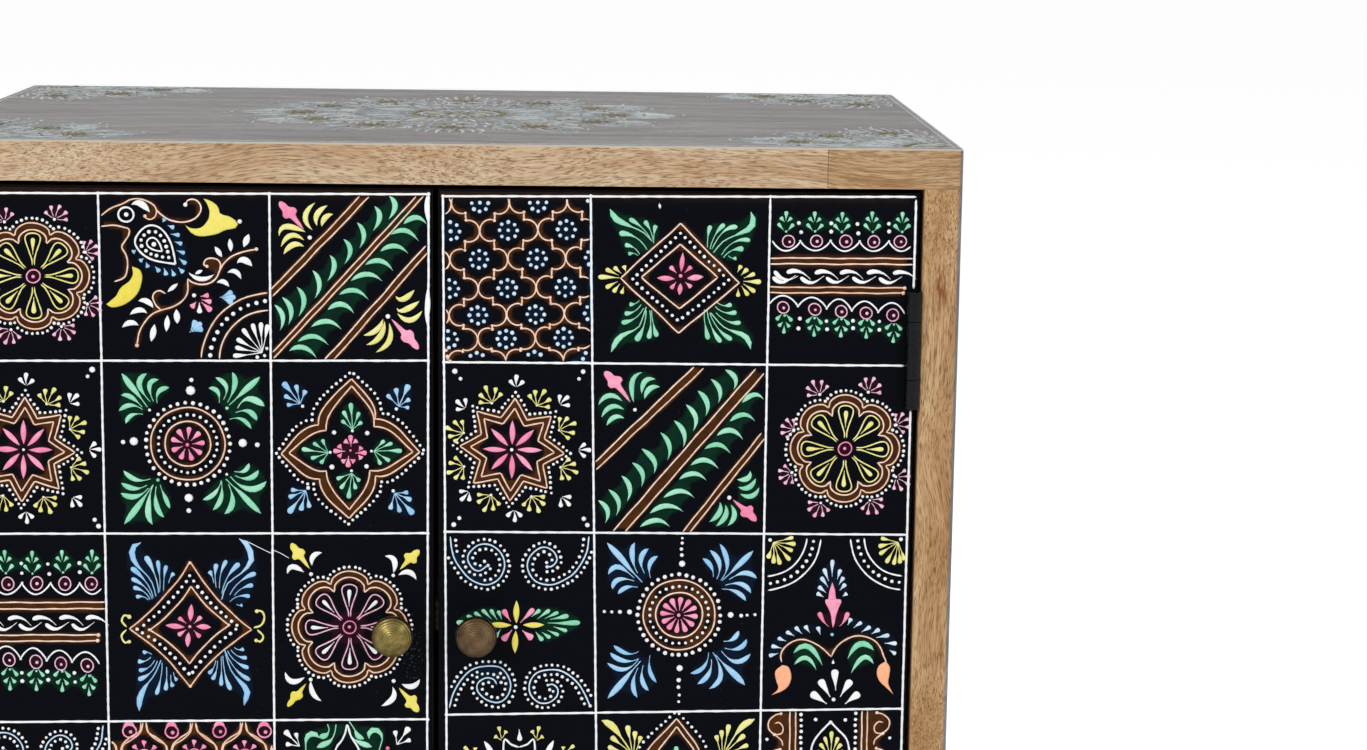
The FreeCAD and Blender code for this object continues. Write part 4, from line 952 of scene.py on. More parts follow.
def branches(tile):
    """Arched branches with hanging buds, leaves and blue drops, under a crowned bud and corner rings."""
    for corner, radii, inward in (((-30.6, 39), (24.4, 18.2), 1), ((30.8, 39), (24.4, 18.4), -1)):
        start, end = (274, 356) if inward > 0 else (184, 266)
        for radius in radii:
            tile.line("white", arc(corner, radius, start, end), FINE)
        tile.dots("white", even(arc(corner, 21.4, start + 3, end - 3), 3), 1.7)
        tile.dots("white", np.add(corner, (2.2 * inward, -1.8)), 1.9)
    tile.tadpoles(
        "yellow", (-27, 36), 2.2, (-18.4, 38, 1.9), (-17.4, 35), (-18.6, 32), (-19.6, 28), (-23.8, 26, 2.4),
        (-26.6, 26.4), (-29.2, 28.6, 2.4))
    tile.tadpoles(
        "yellow", (27.4, 36), 2.2, (19.8, 37.6), (19, 34), (19.4, 30.6), (22.4, 26.6), (25.8, 25.6),
        (28.6, 26.2), (30.4, 27.8))
    tile.strokes(
        "ice", "drop", 2.1, (-1, 20.6, -1, 28), (-2.6, 18.6, -4.6, 24.2), (1.2, 19.4, 2.6, 23.8),
        (-2.8, 16, -6, 20.4), (2, 17, 4, 20.4), (-3.6, 13.6, -7.2, 16.2), (2.6, 14.4, 5, 17.4),
        (-4.6, 11.6, -7.8, 13.2), (3.8, 11.6, 5.8, 13), (-24, -14, -28, -15.2), (-22.6, -11.6, -27, -10.6),
        (-20.6, -8.4, -24.4, -6.8), (-17, -6.2, -20.8, -4), (-13.6, -5.2, -16.8, -2),
        (-10.2, -4.6, -12.4, -1.4), (-5.6, -5.6, -6.8, -2), (6.2, -1.2, 7.8, 1.8), (8.8, -2.4, 12.4, 0.2),
        (12.4, -4.4, 16.4, -1.8), (17, -5.2, 20.4, -3.2), (19, -7, 24.6, -6), (22.6, -9.6, 28, -9.6),
        (25, -12.6, 27.8, -14.4))
    tile.patch(
        "pink", (-1, 18.2, -2.4, 14, -2.8, 10.8, -4.2, 10.4, -4.4, 9, -3, 6.5, -1.5, 3, -0.4, -2.5),
        (-1, 18.2, 0.6, 14.5, 1.2, 10.6, 3, 10.4, 3.8, 9.2, 2.4, 6.5, 1.2, 3, 0.4, -1, -0.4, -2.5))
    tile.strokes("pink", "drop", 2.3, (-2, -2, -4.6, 0.6, -6.6, 4.6), (2.6, -1.6, 4.8, 0.8, 6.4, 4.4))
    tile.dots("blue", (-0.6, -5.4), 1.6)
    tile.curves(
        "orange", LINE,
        (-0.6, -15.6, -4, -12, -8, -9.4, -13, -7.8, -18, -8.8, -21.6, -11.6, -23, -15, -22.4, -18),
        (-0.6, -15.6, 1, -12, 4, -8.6, 8.6, -6.4, 13.6, -6.4, 18, -8.2, 21, -11.6, 22.6, -15.4, 23.8, -18))
    tile.patch(
        "apricot", (-22, -19.2, -25.4, -22, -25, -26, -23.8, -29, -24.6, -31, -26.6, -32.6),
        (-22, -19.2, -19, -20, -17.6, -24, -18.6, -28.4, -21.4, -31, -26.6, -32.6))
    tile.patch(
        "apricot", (23.4, -17.4, 20, -19.6, 19, -23, 20.4, -26.6, 23.4, -29.4, 27, -32.6),
        (23.4, -17.4, 25.6, -20.4, 25.6, -24, 25, -28, 27, -32.6))
    tile.strokes(
        "green", "crescent", 2.9, (-17.4, -13.8, -10.6, -11, -4.4, -19.4),
        (-16.8, -18.8, -11.4, -16, -7.2, -21.6, 2.3), (18, -12.6, 11.6, -10, 6.4, -16.6),
        (18, -18.6, 13.4, -16, 8.2, -23, 2.5))
    tile.strokes(
        "white", "drop", 3.9, (0.2, -16.8, 0.2, -18.8, 1.5), (1.6, -30.6, 1.2, -21.4),
        (-0.8, -33.6, -5.4, -26), (3.8, -33.6, 8.2, -26), (-2.2, -36.8, -9.4, -32), (6, -37, 12.2, -32))
    tile.dots("white", (1, -34.8), 1.9)


def petal_star(tile):
    """Six horned petals round a ring, a drop over each and yellow sprigs at its horns, leaves between."""
    tile = tile.moved(-1, -0.5)
    tile.ring("white", 11.6, LINE)
    tile.ring("white", 9.2, FINE)
    for k in range(8):
        tile.stroke("pink", "drop", polar(np.array([2.2, 7.8]), 90 + 45 * k), 2.4)
    tile.dots("white", (0, 0), 1.7)
    for k in range(6):
        petal = tile.turned(60 * k)
        for side in (-1, 1):
            half = petal.flipped(side, 1)
            half.curves("white", LINE, (2.2, 12.4, 5, 16.4, 6.8, 21.4, 6.3, 27, 3.6, 24.8, 0, 23.6))
            half.strokes(
                "yellow", "tadpole", 2.1, (7.6, 27.2, 8.7, 33), (7.2, 27.6, 5.4, 31),
                (7.8, 26.6, 10.6, 28.6))
        petal.strokes("white", "drop", 2.7, (0, 31.6, 0.2, 26.4))
        petal.turned(30).strokes("white", "leaf", 2.6, (0, 22, 0, 30.6))
        petal.turned(30).strokes("green", "leaf", 2.4, (0, 14, 0, 20.6))


def foil(tile):
    """Double quatrefoil with pointed lobes, edged with dots, a green fan in each lobe, a flower inside."""
    outer = foil_path(
        (0.9, 30.2, 29.9, -2, -0.3, -31.4, -29.7, -2.7), (-13.4, 9.8, 10.9, 12.5, 10.9, -12.5, -13, -13.7))
    inner = foil_path(
        (0.9, 27.1, 27, -1.8, -0.3, -27.5, -26.4, -2.5), (-10.3, 7.3, 10.5, 9.2, 8.3, -10.2, -9.9, -10.2))
    beads = foil_path(
        (0.9, 33.2, 32.2, -1.8, -0.6, -34, -31.8, -2.7), (-16.2, 12.2, 13.4, 14.9, 13.2, -15, -15.6, -16.2))
    tile.line("orange", outer)
    tile.line("orange", inner)
    tile.beads("white", beads, 2.45, 1.5)
    for base, *heads in (
        ((1.1, 7.8), (0.6, 19.5, 2.4), (-2.8, 15.9), (4.1, 15.5), (-3.7, 11.8), (5.3, 11.3)),
        ((10.4, -1.6), (22.4, -1.5, 2.4), (14.9, 3), (18.4, 1.8), (17.2, -6), (13.2, -7.5)),
        ((0.7, -11.4), (-0.5, -22.5, 2.4), (-5.7, -14.1), (-4, -18.3), (2.6, -18.3), (4.2, -14.8)),
        ((-9.2, -2.3), (-20.7, -0.8, 2.4), (-11.8, 3.5), (-15.7, 2.1), (-16.8, -4.8), (-12.6, -6.9)),
    ):
        tile.tadpoles("green", base, 2, *heads)
    tile.dots("white", (9.4, -1.6, 0.7, -10.4, -8.3, -2.3, 1, 7.2), 1.4)
    for x, y, heading in ((0.3, 2.8, 90), (-4.5, -1.5, 180), (4.6, -2.5, 0), (-0.7, -6, 270)):
        petal = tile.moved(x, y).turned(heading)
        petal.strokes("pink", "drop", 2.5, (-2.4, 0, 2.7, 0), (-1, 0.8, 0.4, 2.7), (-1, -0.8, 0.4, -2.7))
    tile.dots("pink", (0, -1.2), 1.3)
    tile.dots("white", (-6.8, 6.5, 7.6, 6.5, -7.6, -8.5, 6.9, -8.5), 2.4)


def blue_quatrefoil(tile):
    """Quatrefoil with small blue fans in the corners."""
    foil(tile)
    for base, *heads in (
        ((-20.1, 18.2), (-28.4, 28.6, 3), (-23.1, 27.5), (-18.9, 24.9), (-28, 22.7), (-26.8, 18.4, 2.1)),
        ((19.9, 17.1), (15.9, 23.1, 2.1), (19.9, 25.9), (25.5, 27.5, 3), (25.9, 21.3), (25.6, 17.3, 2.1)),
        ((-18.2, -17.9), (-25.3, -18.5, 2.1), (-26.4, -22), (-26.4, -29.1, 3), (-21.1, -27.9),
         (-17.4, -26.6)),
        ((18.3, -19.2), (25.3, -20, 2.1), (26.6, -23.3), (27.4, -29.5, 3), (21.4, -28.5), (17.2, -27.4)),
    ):
        tile.dots("white", base, 1.7)
        tile.tadpoles("blue", np.add(base, np.sign(base)), 2.4, *heads)


def yellow_quatrefoil(tile):
    """Tall quatrefoil with wide yellow fans in the corners."""
    foil(tile.moved(-1.6, 0.4).flipped(1.06, 1.15))
    for side in CORNERS:
        corner = tile.flipped(*side)
        corner.strokes("yellow", "swash", 3.6, (20.4, 19.6, 22.4, 23, 26, 28.6, 29.6, 32.6, 33.6, 34.8))
        corner.strokes(
            "yellow", "tadpole", 2.5, (20.2, 20.4, 22.3, 32.6, 2.7), (19.4, 20.6, 18.9, 30),
            (18.4, 20.4, 16.5, 27.6), (21.4, 20.4, 29.5, 27.5, 2.8), (21.8, 19.4, 31, 23),
            (21.6, 18.2, 29, 18.6, 2.2))
        corner.dots("white", (18.4, 17.8), 1.8)


def pillars(tile):
    """Upright bands with scrolls on each side of a pointed white arch with a yellow fan in it."""
    high = tile.half[1] - 0.7
    for x in (-18.2, -15.6, 13.6, 16):
        tile.line("orange", [(x, -high), (x, high)])
    for x in (-13.2, 10.8):
        tile.dots("white", [(x, y) for y in np.arange(high - 1.4, -high, -2.65)], 1.7)
    for side, shift in ((-1, 0), (1, -2.2)):
        for fall in (0, 16.4, 32.8, 49.2):
            place = tile.moved(shift, -fall).flipped(-side, 1)
            place.curves(
                "orange", LINE,
                (-22.4, 37.2, -25, 36.4, -27.6, 33.6, -27.4, 30, -25, 27.6, -22, 25, -21.2, 22.4),
                (-25, 27.6, -22, 28.2, -21.2, 31, -23, 33.2, -25, 32.6))
            place.dots("orange", (-25, 27.6, -22.4, 37.2), 1.7)
            place.dots("white", (-28.2, 25.6), 1.7)
    for fall in (0, 38):
        arch = tile.moved(-0.2, -fall)
        arch.curves(
            "white", LINE, (-0.2, 33, -4.4, 28.4, -7, 24.6, -8.4, 20, -8.2, 12, -6, 4, -0.2, -2),
            (-0.2, 33, 3.2, 29.6, 6.8, 25.6, 8.4, 20, 8.2, 12, 6, 4, -0.2, -2))
        arch.dots("white", (-0.2, 33, -6.8, 34.6, 6.4, 34), 2)
        arch.tadpoles(
            "yellow", (0.4, 17), 2, (0.4, 28.8), (-2.6, 26.4), (3.2, 26.2), (-4.6, 23.4), (4.8, 23.2),
            (-5.8, 20), (6, 19.8))
        arch.tadpoles("pink", (0.2, 14), 2, (0.2, 5.6), (-2.8, 7), (3.2, 7), (-4.6, 10), (5, 10))
        arch.dots("white", (0.3, 15.4), 1.7)


def paisley(tile):
    """Orange scrolls, yellow lilies, a dotted teardrop fringed with blue, and a stem with white leaves."""
    tile.curves(
        "orange", LINE,
        (-35, 26.5, -31, 29.4, -26, 31.6, -22.9, 33.3, -19.8, 33.7, -16, 32.9, -12.9, 31.2, -11.6, 28.9,
         -12.2, 26.2, -14.1, 24.7, -16, 25.1, -16.9, 26.2),
        (-11.6, 28.9, -9.8, 27, -6, 24.7, -0.6, 23.7, 4, 25.1, 6.7, 27.8, 7.1, 30.5, 5.5, 32.8, 3.2, 33.5,
         1.3, 32.8, 0.7, 31.2),
        (-35, 22, -30, 22.4, -25.6, 21.4, -23.3, 20.5, -23.5, 17.8, -25.2, 15.1, -26.4, 12.8, -24.8, 9.7,
         -24.1, 5.8, -24.8, 1.6, -26.4, -0.3, -30, -1.8),
        (-20.8, -29.5, -20, -24.2, -17.9, -19.9, -14.5, -16.1, -10.2, -14, -5.2, -12.6, -1.4, -10.3,
         0.8, -6.5, 1.1, -0.3),
        (-10.2, -14, -12.5, -11.8, -13.7, -8.8, -12.9, -6.5, -10.6, -5.5, -8.3, -6.8),
        (1.1, -0.3, 2.8, -1.8, 6.3, -3, 10.2, -2.6, 13.2, -0.3, 14.8, 3.2, 16.7, 6.2, 20.2, 9.3, 24.8, 11.1,
         30.5, 12),
        (14.8, 3.2, 15.2, 5.8, 14, 7.8, 11.3, 8.5, 9, 7.8, 8.2, 5.5, 9.8, 5))
    tile.dots("orange", (30.5, 12, 9.6, 5, -16.6, 26.2, -20.8, -29.4), 1.8)
    tile.ring("white", 3.2, LINE, (-24.5, 27))
    tear = through(pairs((
        -4.1, 5.7, -4.5, 9.7, -5.6, 14.3, -7.9, 18.9, -10.6, 21.4, -14.1, 22.2, -17.2, 21.1, -19.8, 18.2,
        -20.8, 15.1, -19.8, 12.4, -17.2, 9.7, -12.9, 7.4, -8.3, 6.2, -4.1, 5.7)))
    core = through(pairs((
        -9.5, 11.2, -10.6, 14.3, -12.2, 16.6, -14.1, 17, -15.8, 15.8, -15.8, 13.9, -14.1, 12.4, -11.4, 11.4,
        -9.5, 11.2)))
    tile.line("white", tear)
    tile.line("white", core, FINE)
    between = (share(tear, np.linspace(0, 1, 40)) + share(core, np.linspace(0, 1, 40))) / 2
    tile.beads("white", between, 2.6, 1.75)
    tile.dots("white", (0.7, 31.2, -24.5, 27, -13.1, 14.3, 23.8, 23.8, 3.6, -7.8), 2.1)
    tile.strokes(
        "blue", "drop", 2.2, (-6.8, 22.4, -4.1, 21.4), (-5.8, 18.8, -1.9, 18.2), (-4.1, 15.5, -0.8, 14.3),
        (-3.3, 11.6, 0.2, 10.3), (-2.5, 8.2, 0.5, 5.8), (-2.9, 4.3, -0.6, 2.2), (-5.8, 3.4, -4.5, 0.6),
        (-8.9, 3.9, -7.9, 0.8), (-12.5, 4.7, -10.8, 2.4), (-16.2, 6.6, -15.4, 4.3), (-17.3, 8.4, -18.9, 7),
        (-20.5, 11.8, -22, 10.7), (-9, 23.6, -8.1, 25.2))
    tile.patch(
        "lemon", (0.4, 22.5, 2.8, 21.4, 6.3, 21.6, 8.6, 23.9, 10.2, 28.2, 9.8, 30.8, 8.2, 33.7),
        (0.4, 22.5, 3.2, 18.8, 6.3, 17.5, 10.2, 17.6, 14.8, 18.5, 17.8, 20.1, 22.8, 21.1, 23.8, 23, 22.5,
         24.3, 19.4, 26.2, 15.7, 27, 14.8, 30.5, 11.7, 32.8, 8.2, 33.7))
    tile.patch(
        "lemon",
        (-22.2, 4.7, -18.9, 3.5, -17.8, 0.5, -18.2, -3, -19.5, -6.8, -22.5, -9.9, -26.8, -12.5, -31, -13.2,
         -33.4, -11.6),
        (-22.2, 4.7, -22.3, 1.2, -24.1, -1.5, -26.8, -3.2, -28.4, -5, -29.6, -7.8, -31.4, -9.6, -33.4,
         -11.6))
    tile.strokes(
        "white", "leaf", 2.6, (-22.2, 31.3, -18.3, 31.6, -14.5, 27.8, 3.2), (15.8, 8.9, 12.7, 13.3),
        (19.6, 11.2, 19, 16.8), (25.2, 13.2, 27.3, 18.7, 2.9), (22.1, 6.2, 25, 7.6, 28.5, 4.8, 3.2),
        (18, 2, 21.4, 2.4, 23.8, -0.7), (13.6, -2.2, 16.4, -1.8, 18.8, -4, 2.3),
        (1.7, 2.2, 7, -0.7, 12.3, 1.4, 2.2), (4.4, 1.6, 7.7, 3.2, 1.8),
        (-13.7, -13, -16.4, -10.2, -20, -10.1), (-16.4, -15.3, -19.8, -13.8, -23.7, -15.9),
        (-20, -20.5, -23.4, -19.4, -26.8, -21.5), (-13.3, -20.3, -14.8, -27.6, 3),
        (-7.5, -16.3, -8.3, -23.4), (-3.7, -13.8, -3.5, -19.9, 3), (-7.4, -6.1, -3.1, -2.5, 2))
    tile.strokes(
        "pink", "drop", 2.6, (6.5, -8.2, 10.2, -7.8), (7, -9.6, 11.1, -10.7), (6.8, -10.6, 10.9, -14.4),
        (4.6, -10.4, 2.5, -13))
    tile.strokes("white", "drop", 2.5, (5.9, -10.8, 5.8, -15.3))
    for x, y, heading in ((18, -8.4, 0), (4.2, -21.5, 42)):
        tulip = tile.moved(x, y).turned(heading)
        tulip.strokes(
            "blue", "drop", 3, (-3.2, 0, 3.4, 0, 2.6), (-2.2, 0.4, 2.2, 2.2), (-2.2, -0.4, 2.2, -2.2))
    for radius in (29.4, 21.9):
        tile.line("orange", arc((36, -36), radius, 92, 178))
    tile.dots("white", even(arc((36, -36), 25.8, 95, 175), 3.5), 2)
    tile.tadpoles(
        "white", (32.5, -32.5), 2.4, (19.8, -33.8), (20.9, -30), (21.7, -26.3), (24.2, -22), (28.4, -19.9),
        (32, -19.2), (35, -20))
    tile.dots("white", (30.4, -34.4, 33.6, -33.8, 34.6, -30.6), 1.7)


def scales(tile):
    """A net of ogee cells whose flanks meet at the waist; a pink flower in each, rings along the edge."""
    flank = through(pairs((0.5, 0, 1, -2.4, 2, -5.4, 5.4, -8.4, 8.9, -10.6, 9.7, -13, 9.7, -15.6)))
    for row in range(5):
        level = 37 - 15.6 * row
        for column in range(-2, 3):
            x = 21.8 * (column + row % 2 / 2) + 1.2 - 0.4 * row
            for side in (-1, 1):
                tile.clipped("orange", flank * (side, 1) + (x, level))
                tile.clipped("orange", flank * (side, -1) + (x, level))
            if abs(x) < tile.half[0] - 1 and abs(level) < tile.half[1] - 0.5:
                tile.strokes("orange", "leaf", 2.4, (x, level + 2, x, level - 3))
            place = tile.moved(x, level - 15.6)
            if abs(x) < tile.half[0] - 5 and level - 22 > -tile.half[1]:
                place.ring("pink", 2.9, FINE)
                place.dots("pink", (0.4, -0.3), 1.9)
                place.fan(
                    "pink", (0, 0), 90, {0: 7, 45: 6.6, 90: 6.6, 135: 6.6, 180: 6.8}, 2.4, "drop", 0.55)
    for x in (-27, -8.6, 12, 31.6):
        tile.ring("pink", 2.9, LINE, (x, 32.4))
        tile.strokes("pink", "leaf", 2.2, (x - 2.6, 33.8, x - 0.2, 36, x + 2.4, 34.2))
        tile.dots("pink", (x + 0.5, 32), 1.9)


def scrolls(tile):
    """Green scrolled leaves beside a white gable, with white fans, mirrored below round a pink flower."""
    for up in (1, -1):
        half = tile.flipped(1, up)
        half.curves(
            "white", LINE, (-1.9, 35.4, -2.6, 31.4, -4, 28, -6.2, 25, -7.4, 20, -6.4, 14),
            (-1.6, 35.4, -0.4, 31, 1, 28, 2.8, 25, 4.4, 20, 3.6, 14))
        half.strokes(
            "green", "swash", 3, (-0.8, 36.8, 1.6, 33, 3.2, 30, 5.8, 28.8, 2.6),
            (-1.2, 34, 0, 30, 3, 27.4, 9.2, 25.2), (-10.2, 35.6, -9.6, 33, -11, 30.6, -14, 29.6),
            (-6.6, 35.4, -7.4, 31, -9.4, 27.6, -14.8, 24.8))
        half.strokes(
            "green", "swash", 2.8, (-19.4, 19, -19.8, 25, -19.6, 28.6, -18, 30.8, -15.6, 31, -13.8, 29.4),
            (12, 20, 12.8, 25, 13.8, 28.4, 13, 31.4, 10.6, 32.8, 8.2, 31.4, 8, 28.8),
            (-10, 10, -15, 14, -20, 14.4, -23.6, 11, -22, 7.4, -19, 8),
            (9, 10, 14, 14, 19, 14.4, 22.6, 11, 21, 7.4, 18, 8), (-4, 11, -9, 17, -12, 23),
            (3, 11, 7, 17, 8.6, 22.6))
        half.tadpoles("white", (-22.6, 25.6), 2.6, (-29, 32.4, 3), (-24, 31.6, 2.2), (-28.6, 26.4))
        half.tadpoles("white", (20.2, 26.2), 2.5, (19.2, 32.6), (25.4, 34, 2.9), (26.2, 28.2, 2.3))
        half.dots("pink", (16.3, 24.6, -20.6, 21), 1.9)
    tile.fan("pink", (-1, 0), 90, {0: 9, 45: 7.4, 90: 9, 135: 7.4, 180: 9}, 2.9, "leaf", 0.24)
    tile.dots("yellow", (-1, 0), 2.2)


# Rows of tiles from the top down, and the half-size of the tile that each motif was drawn for
DOOR_TILES = {
    "left": (
        (fanned_rosette, paisley, yellow_stripes),
        (star, green_wheel, blue_quatrefoil),
        (bands, fountain_lozenge, budded_rosette),
        (spirals, scales, scrolls),
        (leafy_lozenge, branches, petal_star),
    ),
    "right": (
        (trellis, leafy_lozenge, bands),
        (star, green_stripes, fanned_rosette),
        (spirals, blue_wheel, branches),
        (petal_star, yellow_quatrefoil, pillars),
        (fountain_lozenge, green_wheel, paisley),
    ),
}
DRAWN_FOR = {
    paisley: (36.1, 35.9), yellow_stripes: (33.7, 35.9), green_wheel: (36.1, 37.9),
    blue_quatrefoil: (33.6, 37.9), fountain_lozenge: (36.05, 42.0), budded_rosette: (33.5, 41.8),
    scales: (36.0, 37.2), scrolls: (33.4, 37.5), trellis: (31.6, 35.9), leafy_lozenge: (38.0, 36.2),
    bands: (31.2, 36.5), star: (32.0, 37.3), green_stripes: (37.3, 37.3), fanned_rosette: (31.2, 37.3),
    spirals: (32.5, 40.8), blue_wheel: (36.6, 40.2), branches: (31.2, 39.5), petal_star: (33.0, 38.2),
    yellow_quatrefoil: (35.9, 38.5), pillars: (31.2, 38.8),
}


# Doors


def hinge_stops(side):
    """Heights where the outer ruling stops and starts again, clear of each hinge barrel."""
    stops = []
    for place in ("lower", "upper"):
        low, high = box_mm(f"{side}_{place}_door_leaf")
        stops += [low[2] - HINGE_CLEAR, high[2] + HINGE_CLEAR]
    return stops


def column_at(ends, depth):
    """Where a column line is at a depth: straight from its upper to its lower end."""
    return ends[0] + (ends[1] - ends[0]) * (depth - RULED_TOP) / RULED_LENGTH


def row_at(ends, x):
    """How deep a row line is at a place: straight from its inner to its outer end."""
    return ends[0] + (ends[1] - ends[0]) * abs(x) / RULED_REACH


def ruled_lines(side, pots):
    """White rulings between the tiles, with a blob where they cross, and a gap for each hinge."""
    sheet = Tile(pots, (0.0, 0.0), (RULED_REACH, RULED_LENGTH), drift=RULER_DRIFT)
    outward = -1 if side == "left" else 1
    inner = COLUMN_LINES[side][-1 if side == "left" else 0]
    gaps = hinge_stops(side)
    for ends in COLUMN_LINES[side]:
        outer = abs(ends[0]) == RULED_REACH
        stops = [TOP_FACE - RULED_TOP - RULED_LENGTH, TOP_FACE - RULED_TOP]
        if outer:
            stops[1:1] = gaps
        for run in zip(stops[::2], stops[1::2]):
            sheet.line("white", [(column_at(ends, TOP_FACE - z), z) for z in run], RULED)
        if not outer:
            places = [(column_at(ends, row[0]), TOP_FACE - row_at(row, ends[0])) for row in ROW_LINES[side]]
            sheet.dots("white", places, 1.8)
    for row in ROW_LINES[side]:
        beside_hinge = any(low < TOP_FACE - row[1] < high for low, high in zip(gaps[::2], gaps[1::2]))
        reach = column_at(inner, row[0]), outward * (RULED_REACH - beside_hinge * ROW_SHORT)
        sheet.line("white", [(x, TOP_FACE - row_at(row, x)) for x in reach], RULED)


def door_tile(side, row, column, motif, pots):
    """The place of one tile: the middle of four rulings, leaning with them, at the size of its motif."""
    upper, lower = ROW_LINES[side][row:row + 2]
    left, right = COLUMN_LINES[side][column:column + 2]
    depth = (sum(upper) + sum(lower)) / 4
    sides = np.array([column_at(left, depth), column_at(right, depth)])
    x = sides.mean()
    levels = np.array([row_at(upper, x), row_at(lower, x)])
    half = np.array([sides[1] - sides[0], levels[1] - levels[0]]) / 2
    lean = (left[0] - left[1] + right[0] - right[1]) / 2 / RULED_LENGTH
    fall = (upper[0] - upper[1] + lower[0] - lower[1]) / 2 / RULED_REACH * np.sign(x)
    drawn = np.array(DRAWN_FOR[motif])
    turn = np.array([[1.0, lean], [fall, 1.0]]) * (half / drawn)
    return Tile(pots, (x, TOP_FACE - levels.mean()), drawn, turn)


def paint_door(side):
    """Pots of paint for one door: its rulings and the motif of each tile."""
    pots = defaultdict(Pot)
    ruled_lines(side, pots)
    for row, motifs in enumerate(DOOR_TILES[side]):
        for column, motif in enumerate(motifs):
            motif(door_tile(side, row, column, motif, pots))
    return pots


def bell(places, spread):
    """Weights of a bell curve between every two places, that sum to one over a millimetre."""
    away = places[:, None] - places[None, :]
    return np.exp(-away ** 2 / (2 * spread ** 2)) / (spread * np.sqrt(2 * np.pi))


def wash_cover(pots, colours, across, up, spread, thin, kept):
    """Where a thin wash lies between strokes: points whose share of paint nearby, blurred both ways by a
    bell curve, passes thin; then those deep enough inside, where the same blur of that area passes kept."""
    points, areas = (np.concatenate(part) for part in zip(*(pots[colour].footprint() for colour in colours)))
    edges = [np.append(axis, 2 * axis[-1] - axis[-2]) - (axis[1] - axis[0]) / 2 for axis in (across, up)]
    laid = np.histogram2d(points[:, 0], points[:, 1], edges, weights=areas)[0]
    reached = bell(across, spread) @ laid @ bell(up, spread).T > thin
    cell = (across[1] - across[0]) * (up[1] - up[0])
    deep = bell(across, spread) @ reached @ bell(up, spread).T * cell
    return np.clip((deep - kept) / WASH_EDGE, 0.0, 1.0)


def rubbed_by_hand(side, across, up):
    """Where fingers have rubbed the ground by the left knob: a bell of the distance from a place below."""
    low, high = box_mm(side + "_knob")
    aside = (across - (low[0] + high[0]) / 2 - RUB_ASIDE) / RUB_WIDE
    below = (up - (low[2] + high[2]) / 2 + RUB_BELOW) / RUB_HIGH
    return np.exp(-(aside[:, None] ** 2 + below[None, :] ** 2) / 2) * (side == "left")


# Washes under the raised paint: the colours they follow, the blur's spread, how thin they run, what stays
WASHES = {
    "brown": (("orange",), 1.25, 0.05, 0.86),
    "green": (("green",), 1.9, 0.05, 0.77),
    "blue": (("blue", "ice"), 1.7, 0.06, 0.76),
    "pink": (("pink", "rose"), 1.2, 0.08, 0.8),
}


def paint_ground(side, pots, material):
    """The door's brushed black ground: a flat grid a film thick over its face, which holds the washes,
    closed by four edges and a back."""
    low, high = DOOR_BOX[side]
    ends = np.clip((low[0] + FILM_INSET, high[0] - FILM_INSET), -GROUND_REACH, GROUND_REACH)
    across = np.linspace(*ends, int((ends[1] - ends[0]) / FILM_STEP))
    up = np.linspace(low[2] + FILM_INSET, high[2] - FILM_INSET, int((high[2] - low[2]) / FILM_STEP))
    grid = np.stack(np.meshgrid(across, up, indexing="ij"), axis=-1).reshape(-1, 2)
    index = np.arange(len(grid)).reshape(len(across), len(up))
    borders = (index[:, 0], index[-1], index[::-1, -1], index[0, ::-1])
    back = len(grid) + np.arange(4)
    faces = [grid_faces(index), back[::-1][None]]
    faces += [np.append(border[::-1], back[[k, (k + 1) % 4]])[None] for k, border in enumerate(borders)]
    points = np.concatenate([grid, grid[[border[0] for border in borders]]])
    lift = np.where(np.arange(len(points)) < len(grid), 0.0, -FILM - FILM_BED)
    mesh = new_mesh(side + "_door_ground", on_door(points, lift), faces, smooth=False)
    covers = {name: wash_cover(pots, rule[0], across, up, *rule[1:]) for name, rule in WASHES.items()}
    covers["rubbed_and_highlight"] = rubbed_by_hand(side, across, up)
    covers["worn"] = np.ones((len(across), 1)) * np.exp(-((up[-1] - up) / WORN_EDGE) ** 2)
    for name, cover in covers.items():
        keep_values(mesh, name, np.append(cover.ravel(), np.zeros(4)))
    piece(mesh, side + "_door", material)


# Ornament on the top board


